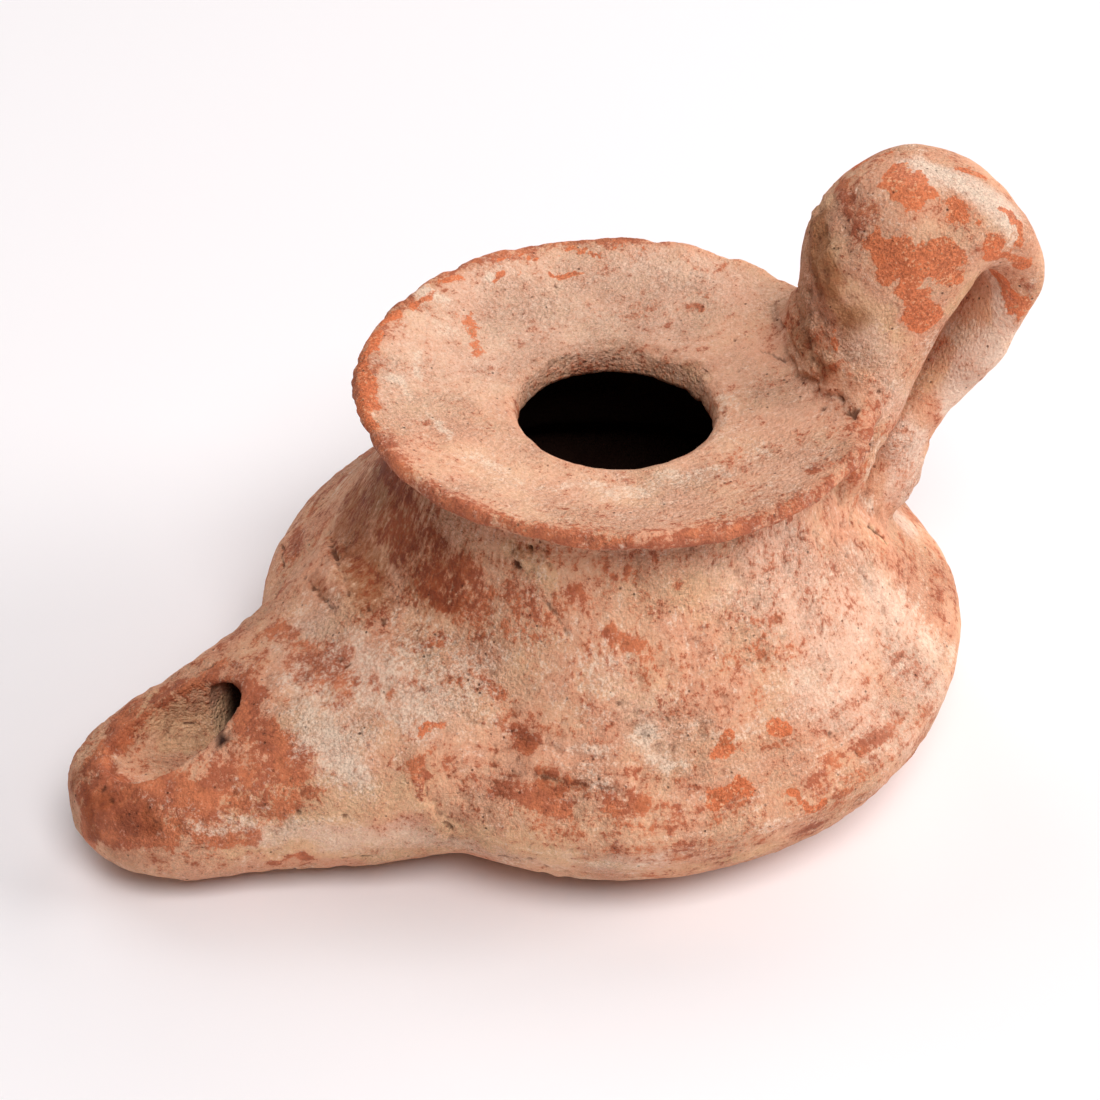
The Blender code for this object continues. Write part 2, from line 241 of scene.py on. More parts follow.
def off_segment(points: np.ndarray, start: Point3, end: Point3) -> np.ndarray:
    """Distance of each point from the straight line between two ends."""
    a = np.array(start)
    run = np.array(end) - a
    span = float(run @ run)
    t = np.clip((points - a) @ run / span, 0.0, 1.0) if span > 0.0 else np.zeros(len(points))
    return np.linalg.norm(points - a - t[:, None] * run, axis=1)


def off_path(points: np.ndarray, path: Sequence[Point3]) -> np.ndarray:
    """Distance of each point from a run of straight lines."""
    return np.min([off_segment(points, a, b) for a, b in zip(path, path[1:])], axis=0)


def in_order(items: Iterable[object]) -> list:
    """Each item once, in the order of first meeting, so that every run gives the same mesh."""
    return list(dict.fromkeys(items))


def skin_rings(grid: bmesh.types.BMesh, rings: Sequence[Sequence[Point3]]) -> None:
    """Extrude a capped circle through rings of equal point count, and cap the end.

    Args:
        grid: The bmesh that gets the closed shape.
        rings: The rings in order, each with its points in order.
    """
    loop = bmesh.ops.create_circle(grid, cap_ends=True, segments=len(rings[0]), radius=1.0)["verts"]
    for corner, place in zip(loop, rings[0]):
        corner.co = place
    for ring in rings[1:]:
        inside = set(loop)
        edges = in_order(e for v in loop for e in v.link_edges if e.other_vert(v) in inside)
        made = bmesh.ops.extrude_edge_only(grid, edges=edges)["geom"]
        fresh = {v for v in made if isinstance(v, bmesh.types.BMVert)}
        loop = [next(w for w in (e.other_vert(v) for e in v.link_edges) if w in fresh) for v in loop]
        for corner, place in zip(loop, ring):
            corner.co = place
    inside = set(loop)
    rim = in_order(e for v in loop for e in v.link_edges if e.other_vert(v) in inside)
    bmesh.ops.holes_fill(grid, edges=rim, sides=0)
    bmesh.ops.recalc_face_normals(grid, faces=grid.faces)


def spin_profile(grid: bmesh.types.BMesh, profile: Sequence[Point2], steps: int) -> None:
    """Turn a profile of (radius, height) points about Z into a closed shape.

    Args:
        grid: The bmesh that gets the shape.
        profile: The points, from the axis at the top to the axis at the bottom.
        steps: How many sides the turned shape has.
    """
    chain = [grid.verts.new((radius, 0.0, height)) for radius, height in profile]
    edges = [grid.edges.new(pair) for pair in zip(chain, chain[1:])]
    bmesh.ops.spin(
        grid,
        geom=chain + edges,
        axis=(0.0, 0.0, 1.0),
        cent=(0.0, 0.0, 0.0),
        dvec=(0.0, 0.0, 0.0),
        angle=2.0 * math.pi,
        steps=steps,
        use_merge=True,
        use_duplicate=False,
    )
    bmesh.ops.remove_doubles(grid, verts=grid.verts, dist=0.002 * MM)
    bmesh.ops.recalc_face_normals(grid, faces=grid.faces)


def as_object(grid: bmesh.types.BMesh, name: str) -> bpy.types.Object:
    """Put a bmesh into a new object at the origin and free the bmesh."""
    mesh = bpy.data.meshes.new(name)
    grid.to_mesh(mesh)
    grid.free()
    item = bpy.data.objects.new(name, mesh)
    bpy.context.scene.collection.objects.link(item)
    return item


def bake(item: bpy.types.Object) -> None:
    """Give the object its evaluated mesh and no modifiers."""
    graph = bpy.context.evaluated_depsgraph_get()
    graph.update()
    mesh = bpy.data.meshes.new_from_object(item.evaluated_get(graph))
    item.modifiers.clear()
    old = item.data
    item.data = mesh
    bpy.data.meshes.remove(old)


def places_of(mesh: bpy.types.Mesh) -> np.ndarray:
    """Vertex places of a mesh as an N by 3 array."""
    flat = np.empty(3 * len(mesh.vertices))
    mesh.vertices.foreach_get("co", flat)
    return flat.reshape(-1, 3)


@dataclass
class ThrownBody:
    """Wheel-thrown body: sunk disc, lip, waisted neck and low belly."""

    height: float = 44.6 * MM
    rim_radius: float = 28.9 * MM
    lip: float = 1.8 * MM
    dip: float = 3.2 * MM
    neck_radius: float = 22.9 * MM
    waist_radius: float = 25.6 * MM
    shoulder_radius: float = 33.7 * MM
    belly_radius: float = 40.1 * MM
    belly_height: float = 12.6 * MM
    foot_radius: float = 28.0 * MM
    fill_radius: float = 10.9 * MM
    below_base: float = 1.5 * MM
    steps: int = 220

    def profile(self) -> list[Point2]:
        """Outer profile as (radius, height), from the disc down to the base."""
        low = self.height - self.lip
        disc = self.height - self.dip
        neck_height = low - 0.7 * self.lip
        rise = neck_height - self.belly_height
        band = self.rim_radius - self.fill_radius
        flare = self.belly_radius - self.foot_radius
        middle = 0.5 * (self.waist_radius + self.shoulder_radius) - 0.6 * MM
        points = [
            (self.fill_radius, disc),
            (self.fill_radius + 0.45 * band, disc + 0.30 * self.dip),
            (self.fill_radius + 0.78 * band, disc + 0.82 * self.dip),
            (self.rim_radius - 0.60 * self.lip, self.height),
            (self.rim_radius, self.height - 0.45 * self.lip),
            (self.rim_radius - 0.25 * self.lip, low),
            (self.neck_radius + 0.40 * (self.rim_radius - self.neck_radius), low - 0.45 * self.lip),
            (self.neck_radius, neck_height - 0.9 * self.lip),
            (self.waist_radius, self.belly_height + 0.68 * rise),
            (middle, self.belly_height + 0.46 * rise),
            (self.shoulder_radius, self.belly_height + 0.255 * rise),
            (self.belly_radius - 1.4 * MM, self.belly_height + 0.10 * rise),
            (self.belly_radius, self.belly_height),
            (self.belly_radius - 0.19 * flare, 0.52 * self.belly_height),
            (self.belly_radius - 0.52 * flare, 0.24 * self.belly_height),
            (self.foot_radius, 0.0),
            (self.foot_radius - 1.5 * MM, -self.below_base),
        ]
        return [(0.0, disc)] + smooth_curve(points, 5) + [(0.0, -self.below_base)]

    def build(self) -> bpy.types.Object:
        """Solid body, before it is hollowed."""
        grid = bmesh.new()
        spin_profile(grid, self.profile(), self.steps)
        return as_object(grid, "thrown_body")


@dataclass
class WickNozzle:
    """Blunt tubular nozzle with an open scoop for the wick on its top."""

    body: ThrownBody
    reach: float = 65.8 * MM
    half_width: float = 11.8 * MM
    near_flare: float = 11.4 * MM
    far_flare: float = 6.0 * MM
    underside: float = 1.0 * MM
    top_at_root: float = 26.4 * MM
    top_at_wick: float = 17.2 * MM
    scoop_centre: float = 54.7 * MM
    scoop_length: float = 17.2 * MM
    scoop_half_width: float = 4.9 * MM
    scoop_offset: float = 0.3 * MM
    scoop_depth: float = 5.6 * MM
    scoop_rise: float = math.radians(9.0)
    passage_half: float = 5.0 * MM
    passage_skew: float = 0.58
    passage_height: float = 8.6 * MM
    floor: float = 5.0 * MM
    flatter_below: float = 0.7
    sides: int = 64

    def ring(self, x: float, near: float, far: float, low: float, top: float, power: float) -> list[Point3]:
        """One upright section.

        Args:
            x: Where it stands along X.
            near: Its reach towards -Y.
            far: Its reach towards +Y.
            low: Its lowest height.
            top: Its highest height.
            power: How square the oval is; 2 is an ellipse.

        Returns:
            The section's points in order.
        """
        out: list[Point3] = []
        for k in range(self.sides):
            angle = 2.0 * math.pi * k / self.sides
            c = math.cos(angle)
            s = math.sin(angle)
            square = power if s > 0.0 else power + self.flatter_below
            y = 0.5 * (far - near) + 0.5 * (near + far) * math.copysign(abs(c) ** (2.0 / square), c)
            z = 0.5 * (low + top) + 0.5 * (top - low) * math.copysign(abs(s) ** (2.0 / square), s)
            out.append((x, y, z))
        return out

    def build(self) -> bpy.types.Object:
        """Solid nozzle, before it is bored."""
        belly = self.body.belly_radius
        span = self.reach - belly
        half = self.half_width
        near = self.near_flare
        far = self.far_flare
        low = self.underside
        wick = self.top_at_wick
        fall = self.top_at_root - wick
        stations = [
            (0.45 * belly, half + near, half + far, low + 3.0 * MM, self.top_at_root + 2.4 * MM),
            (0.75 * belly, half + near, half + far, low + 0.8 * MM, self.top_at_root),
            (self.reach - 1.10 * span, half + 0.74 * near, half + 0.50 * far, low, wick + 0.60 * fall),
            (self.reach - 0.92 * span, half + 0.50 * near, half + 0.20 * far, low, wick + 0.44 * fall),
            (self.reach - 0.70 * span, half + 0.24 * near, half - 0.02 * far, low, wick + 0.25 * fall),
            (self.reach - 0.48 * span, half + 0.04 * near, 0.94 * half, low, wick + 0.02 * fall),
            (self.reach - 0.30 * span, 0.90 * half, 0.88 * half, low + 0.7 * MM, wick - 0.17 * fall),
            (self.reach - 0.15 * span, 0.70 * half, 0.70 * half, low + 1.9 * MM, wick - 0.33 * fall),
            (self.reach - 0.05 * span, 0.46 * half, 0.46 * half, low + 3.4 * MM, wick - 0.47 * fall),
            (self.reach, 0.17 * half, 0.17 * half, low + 5.0 * MM, wick - 0.62 * fall),
        ]
        grid = bmesh.new()
        skin_rings(grid, [self.ring(-d, n, f, lo, hi, 2.4) for d, n, f, lo, hi in smooth_curve(stations, 6)])
        return as_object(grid, "nozzle")

    def drop(self) -> float:
        """Distance from the wheel axis at which the scoop's floor drops into the passage."""
        return self.scoop_centre - 0.5 * self.scoop_length + 2.3 * MM

    def bed(self, reach: float | np.ndarray) -> float | np.ndarray:
        """Height of the scoop's floor at a distance from the wheel axis."""
        return self.top_at_wick - self.scoop_depth + (reach - self.scoop_centre) * math.tan(self.scoop_rise)

    def passage(self) -> bpy.types.Object:
        """Cutter for the passage from the reservoir into the scoop's inner end."""
        half = self.passage_half
        drop = self.drop()
        high = self.floor + self.passage_height
        bed = self.bed(drop)
        belly = self.body.belly_radius
        roof = self.top_at_wick + 1.7 * MM
        stations = [
            (0.50 * belly, 3.0 * half, 2.7 * half, self.floor + 0.6 * MM, high + 2.6 * MM),
            (0.84 * belly, 2.5 * half, 2.1 * half, self.floor + 1.0 * MM, high + 1.3 * MM),
            (drop - 7.8 * MM, 1.4 * half, 1.2 * half, self.floor + 1.4 * MM, high + 2.4 * MM),
            (drop - 2.4 * MM, 1.04 * half, half, bed - 4.2 * MM, roof - 0.6 * MM),
            (drop - 0.8 * MM, half, half, bed - 2.6 * MM, roof),
            (drop + 0.2 * MM, 0.94 * half, 0.94 * half, bed + 0.1 * MM, roof),
            (drop + 2.0 * MM, 0.7 * half, 0.7 * half, bed + 1.8 * MM, roof),
        ]
        grid = bmesh.new()
        rings = [self.ring(-d, n, f, lo, hi, 2.6) for d, n, f, lo, hi in smooth_curve(stations, 8)]
        skin_rings(grid, rings)
        for corner in grid.verts:
            corner.co.x += self.passage_skew * corner.co.y
        bmesh.ops.translate(grid, verts=grid.verts, vec=(0.0, -self.scoop_offset, 0.0))
        return as_object(grid, "passage")

    def scoop(self) -> bpy.types.Object:
        """Cutter for the open oval dish in which the wick lay."""
        clear = self.top_at_root
        levels = [(0.20, 0.0), (0.45, 0.05), (0.66, 0.25), (0.82, 0.8), (0.93, 1.8), (0.99, 3.3), (1.0, 5.0)]
        rings: list[list[Point3]] = []
        for share, lift in smooth_curve(levels, 3):
            ring: list[Point3] = []
            for k in range(self.sides):
                angle = 2.0 * math.pi * k / self.sides
                reach = self.scoop_centre + 0.5 * self.scoop_length * share * math.cos(angle)
                y = self.scoop_half_width * share * math.sin(angle) - self.scoop_offset
                ring.append((-reach, y, self.bed(reach) + lift * MM))
            rings.append(ring)
        rings.append([(x, y, clear) for x, y, _ in rings[-1]])
        grid = bmesh.new()
        skin_rings(grid, rings)
        return as_object(grid, "scoop")


@dataclass
class LoopHandle:
    """Thick strap bent back on itself, with a narrow slot under the bend."""

    body: ThrownBody
    skew: float = math.radians(-13.6)
    top: float = 67.1 * MM
    reach: float = 45.5 * MM
    root_half: float = 11.6 * MM
    half: float = 9.4 * MM
    foot_half: float = 6.4 * MM
    slot: float = 3.2 * MM
    lean: float = 0.6
    thickness: float = 5.4 * MM
    sides: int = 48

    def along(self) -> Vector:
        """Level direction in which the handle stands out."""
        return Vector((math.cos(self.skew), math.sin(self.skew), 0.0))

    def across(self) -> Vector:
        """Level direction across the strap, towards +Y."""
        return Vector((-math.sin(self.skew), math.cos(self.skew), 0.0))

    def stations(self) -> list[tuple[float, ...]]:
        """Outer point, slot-side point, half-width and lean of the near edge, root to foot."""
        rise = self.top - self.body.height
        out = self.reach
        rim = self.body.rim_radius
        h = self.body.height
        root = self.root_half
        half = self.half
        foot = self.foot_half
        ankle = 0.5 * (half + foot)
        back = out - self.thickness
        gap = self.slot
        lean = self.lean
        front = back - gap
        return [
            (0.56 * rim, h - 0.34 * rim, 0.92 * rim, h - 0.50 * rim, root, 0.0),
            (0.69 * rim, h - 0.12 * rim, rim - 0.6 * MM, h - 0.40 * rise, root, 0.0),
            (0.74 * rim, h + 0.06 * rise, front - 5.6 * MM, h - 0.20 * rise, 0.5 * (root + half), 0.0),
            (0.73 * rim, h + 0.30 * rise, front - 3.2 * MM, h + 0.02 * rise, half, 0.0),
            (0.745 * rim, h + 0.57 * rise, front - 1.2 * MM, h + 0.21 * rise, half, 0.0),
            (0.825 * rim, h + 0.80 * rise, front + 0.2 * MM, h + 0.33 * rise, half, 0.0),
            (0.95 * rim, h + 0.94 * rise, front + 1.3 * MM, h + 0.42 * rise, half, 0.0),
            (1.11 * rim, self.top, back - 0.50 * gap, h + 0.475 * rise, 0.98 * half, 0.0),
            (out - 0.34 * rim, h + 0.98 * rise, back - 0.28 * gap, h + 0.485 * rise, 0.95 * half, 0.2 * lean),
            (out - 0.20 * rim, h + 0.91 * rise, back - 0.12 * gap, h + 0.47 * rise, 0.92 * half, 0.5 * lean),
            (out - 0.075 * rim, h + 0.78 * rise, back - 0.03 * gap, h + 0.43 * rise, 0.90 * half, 0.8 * lean),
            (out - 0.015 * rim, h + 0.61 * rise, back, h + 0.37 * rise, 0.88 * half, lean),
            (out, h + 0.42 * rise, back - 0.2 * MM, h + 0.29 * rise, 0.86 * half, lean),
            (out - 0.05 * rim, h + 0.23 * rise, back - 1.1 * MM, h + 0.18 * rise, 0.84 * half, 0.8 * lean),
            (out - 0.09 * rim, h + 0.03 * rise, back - 3.2 * MM, h + 0.03 * rise, ankle, 0.5 * lean),
            (out - 0.125 * rim, h - 0.15 * rise, back - 5.9 * MM, h - 0.15 * rise, foot, 0.2 * lean),
            (out - 0.228 * rim, h - 0.33 * rise, rim + 0.6 * MM, h - 0.32 * rise, foot, 0.0),
            (out - 0.294 * rim, h - 0.52 * rise, 0.90 * rim, h - 0.54 * rise, foot, 0.0),
            (out - 0.322 * rim, h - 0.74 * rise, 0.84 * rim, h - 0.76 * rise, foot, 0.0),
            (out - 0.353 * rim, h - 0.89 * rise, 0.84 * rim, h - 0.89 * rise, 0.85 * foot, 0.0),
            (out - 0.467 * rim, h - 1.02 * rise, 0.78 * rim, h - 0.98 * rise, 0.6 * foot, 0.0),
        ]

    def build(self) -> bpy.types.Object:
        """Solid handle, its strap squarer on the slot side than outside."""
        along = self.along()
        across = self.across()
        up = Vector((0.0, 0.0, 1.0))
        rings: list[list[Point3]] = []
        for ou, oz, iu, iz, half, lean in smooth_curve(self.stations(), 5):
            outer = along * ou + up * oz
            inner = along * iu + up * iz
            middle = (outer + inner) * 0.5
            thick = (outer - inner) * 0.5
            ring: list[Point3] = []
            for k in range(self.sides):
                angle = 2.0 * math.pi * k / self.sides
                c = math.cos(angle)
                s = math.sin(angle)
                power = 2.15 if c > 0.0 else 2.8
                a = math.copysign(abs(c) ** (2.0 / power), c)
                b = half * math.copysign(abs(s) ** (2.0 / power), s)
                nearer = max(-b / half, 0.0)
                ring.append(tuple(middle + thick * (a + lean * nearer * nearer) + across * b))
            rings.append(ring)
        grid = bmesh.new()
        skin_rings(grid, rings)
        return as_object(grid, "handle")


@dataclass
class OilChamber:
    """Hollow of the body: reservoir, neck and rounded filling hole."""

    body: ThrownBody
    wall: float = 4.0 * MM
    floor: float = 5.0 * MM
    disc: float = 3.8 * MM
    edge: float = 1.0 * MM
    steps: int = 96

    def profile(self) -> list[Point2]:
        """Profile of the hollow as (radius, height), from above the disc down."""
        b = self.body
        top = b.height - b.dip
        ceiling = top - self.disc
        neck = b.neck_radius - self.wall
        rise = ceiling - b.belly_height
        middle = 0.5 * (b.waist_radius + b.shoulder_radius) - self.wall - 0.8 * MM
        hole = [
            (b.fill_radius + 3.0 * self.edge, top + 1.5 * self.edge),
            (b.fill_radius + 1.15 * self.edge, top + 0.1 * self.edge),
            (b.fill_radius + 0.3 * self.edge, top - 0.5 * self.edge),
            (b.fill_radius, top - 1.4 * self.edge),
        ]
        inside = [
            (b.fill_radius - 0.3 * self.edge, ceiling + 0.2 * MM),
            (b.fill_radius + 1.2 * self.edge, ceiling - 0.1 * MM),
            (0.5 * (b.fill_radius + neck) + 1.2 * MM, ceiling - 0.2 * MM),
            (neck - 0.6 * MM, ceiling - 1.6 * MM),
            (neck + 0.3 * MM, ceiling - 0.16 * rise),
            (b.waist_radius - self.wall, b.belly_height + 0.66 * rise),
            (middle, b.belly_height + 0.42 * rise),
            (b.shoulder_radius - self.wall - 0.8 * MM, b.belly_height + 0.20 * rise),
            (b.belly_radius - self.wall, b.belly_height),
            (b.belly_radius - self.wall - 2.6 * MM, 0.5 * (b.belly_height + self.floor)),
            (b.foot_radius, self.floor + 0.7 * MM),
            (b.foot_radius - 6.0 * MM, self.floor),
        ]
        above = (b.fill_radius + 3.0 * self.edge, b.height + 2.0 * MM)
        mouth = smooth_curve(hole, 5)
        return [(0.0, above[1]), above] + mouth + smooth_curve(inside, 3) + [(0.0, self.floor)]

    def build(self) -> bpy.types.Object:
        """Cutter for the whole hollow."""
        grid = bmesh.new()
        spin_profile(grid, self.profile(), self.steps)
        return as_object(grid, "chamber")


@dataclass
class WorkedClay:
    """Body, nozzle and handle run together, set down flat and hollowed."""

    body: ThrownBody
    nozzle: WickNozzle
    handle: LoopHandle
    chamber: OilChamber
    grain: float = 0.57 * MM
    soften: int = 4
    work_in: int = 46
    ease: int = 3
    fold: float = 0.6

    def seam(self, p: np.ndarray) -> np.ndarray:
        """How strongly the clay is worked in: 1 along the joints, 0 away from them."""
        out = p[:, 0] * math.cos(self.handle.skew) + p[:, 1] * math.sin(self.handle.skew)
        radius = np.hypot(p[:, 0], p[:, 1])
        belly = self.body.belly_radius
        rim = self.body.rim_radius
        tall = self.nozzle.top_at_root
        joint = ramp(-p[:, 0], 0.45 * belly, 0.70 * belly)
        joint *= 1.0 - ramp(radius, belly + 1.0 * MM, belly + 5.0 * MM)
        joint *= 1.0 - ramp(p[:, 2], tall + 4.0 * MM, tall + 9.0 * MM)
        root = np.hypot(out - 0.75 * rim, p[:, 2] - self.body.height)
        foot = np.hypot(out - 1.10 * rim, p[:, 2] - 0.53 * self.body.height)
        side = 1.0 - ramp(np.abs(p[:, 1] - out * math.sin(self.handle.skew)), 14.0 * MM, 18.0 * MM)
        near = np.maximum(ramp(root, 7.0 * MM, 3.0 * MM), ramp(foot, 7.0 * MM, 3.0 * MM))
        return np.maximum(joint, side * near)

    def join(self) -> bpy.types.Object:
        """Run the three solids into one skin and work in the joints."""
        grid = bmesh.new()
        for piece in (self.body.build(), self.nozzle.build(), self.handle.build()):
            grid.from_mesh(piece.data)
            bpy.data.objects.remove(piece, do_unlink=True)
        item = as_object(grid, "lamp_clay")
        remesh = item.modifiers.new("blend", "REMESH")
        remesh.mode = "VOXEL"
        remesh.voxel_size = self.grain
        bake(item)
        weights = self.seam(places_of(item.data))
        seam = item.vertex_groups.new(name="seam")
        for index in np.flatnonzero(weights > 0.01):
            seam.add([int(index)], float(weights[index]), "REPLACE")
        for name, passes, group in (("soften", self.soften, ""), ("work_in", self.work_in, "seam")):
            smooth = item.modifiers.new(name, "SMOOTH")
            smooth.factor = 0.5
            smooth.iterations = passes
            smooth.vertex_group = group
        bake(item)
        item.vertex_groups.clear()
        p = places_of(item.data)
        p[:, 2] = np.maximum(p[:, 2], 0.0)
        item.data.vertices.foreach_set("co", p.ravel())
        item.data.update()
        return item

    def thin_base(self, item: bpy.types.Object) -> None:
        """Merge the many small faces of the flat base, away from its edge.

        Args:
            item: The joined clay.
        """
        inner = self.body.foot_radius - 4.0 * MM
        grid = bmesh.new()
        grid.from_mesh(item.data)
        flat = [v for v in grid.verts if v.co.z < 0.001 * MM and math.hypot(v.co.x, v.co.y) < inner]
        edges = in_order(e for v in flat for e in v.link_edges)
        bmesh.ops.dissolve_limit(
            grid, angle_limit=0.01, verts=flat, edges=edges, use_dissolve_boundaries=False
        )
        bmesh.ops.triangulate(grid, faces=[f for f in grid.faces if len(f.verts) > 4])
        grid.to_mesh(item.data)
        grid.free()

    def drop_flaps(self, grid: bmesh.types.BMesh) -> None:
        """Take out triangles that lie back to back on the same three corners.

        Args:
            grid: The cut skin, changed in place.
        """
        flaps = []
        for face in grid.faces:
            if len(face.verts) == 3:
                corners = set(face.verts)
                nearby = (other for edge in face.edges for other in edge.link_faces if other is not face)
                if any(set(other.verts) == corners for other in nearby):
                    flaps.append(face)
        if flaps:
            LOG.info("back-to-back faces dropped: %d", len(flaps))
            bmesh.ops.delete(grid, geom=flaps, context="FACES")

    def hollow(self, item: bpy.types.Object) -> None:
        """Cut the chamber and the wick passage, and ease the cut edges."""
        for tool in (self.chamber.build(), self.nozzle.passage(), self.nozzle.scoop()):
            cut = item.modifiers.new("hollow", "BOOLEAN")
            cut.operation = "DIFFERENCE"
            cut.solver = "EXACT"
            cut.object = tool
            bake(item)
            bpy.data.objects.remove(tool, do_unlink=True)
        grid = bmesh.new()
        grid.from_mesh(item.data)
        bmesh.ops.remove_doubles(grid, verts=grid.verts, dist=0.03 * MM)
        folds = [e for e in grid.edges if e.is_manifold and e.calc_face_angle() > self.fold]
        sharp = in_order(v for e in folds for v in e.verts if v.co.z > 1.0 * MM)
        wide = in_order(sharp + [e.other_vert(v) for v in sharp for e in v.link_edges])
        for _ in range(self.ease):
            bmesh.ops.smooth_vert(
                grid, verts=wide, factor=0.5, use_axis_x=True, use_axis_y=True, use_axis_z=True
            )
        bmesh.ops.triangulate(grid, faces=[f for f in grid.faces if len(f.verts) > 4])
        self.drop_flaps(grid)
        grid.to_mesh(item.data)
        grid.free()

    def build(self) -> bpy.types.Object:
        """The whole hollow lamp, still with a plain surface."""
        item = self.join()
        LOG.info("joined clay: %d faces", len(item.data.polygons))
        self.thin_base(item)
        self.hollow(item)
        LOG.info("hollowed clay: %d faces", len(item.data.polygons))
        return item


@dataclass(frozen=True)
class Mark:
    """A stroke of one coat: two ends, half its width, and how much of it lies there."""

    start: Point3
    end: Point3
    radius: float
    amount: float


def mark_table(*rows: tuple[float, ...]) -> tuple[Mark, ...]:
    """Make strokes from rows of start, end, radius and amount, in millimetres."""
    return tuple(Mark(row[0:3], row[3:6], row[6], row[7]) for row in rows)


@dataclass(frozen=True)
class Crack:
    """An open joint or crack: half-width, depth and the line that it follows."""

    width: float
    depth: float
    path: tuple[Point3, ...]


@dataclass(frozen=True)
class Dent:
    """A pit, or with a negative depth a small lump: centre, radius and depth."""

    centre: Point3
    radius: float
    depth: float


@dataclass(frozen=True)
class Ledge:
    """A line along which the clay on one side stands proud."""

    path: tuple[Point3, ...]
    side: Point3
    height: float
    reach: float


@dataclass(frozen=True)
class Crumble:
    """A run of broken, flaky clay: its line, half-width, relief and grain size."""

    path: tuple[Point3, ...]
    width: float
    relief: float
    grain: float


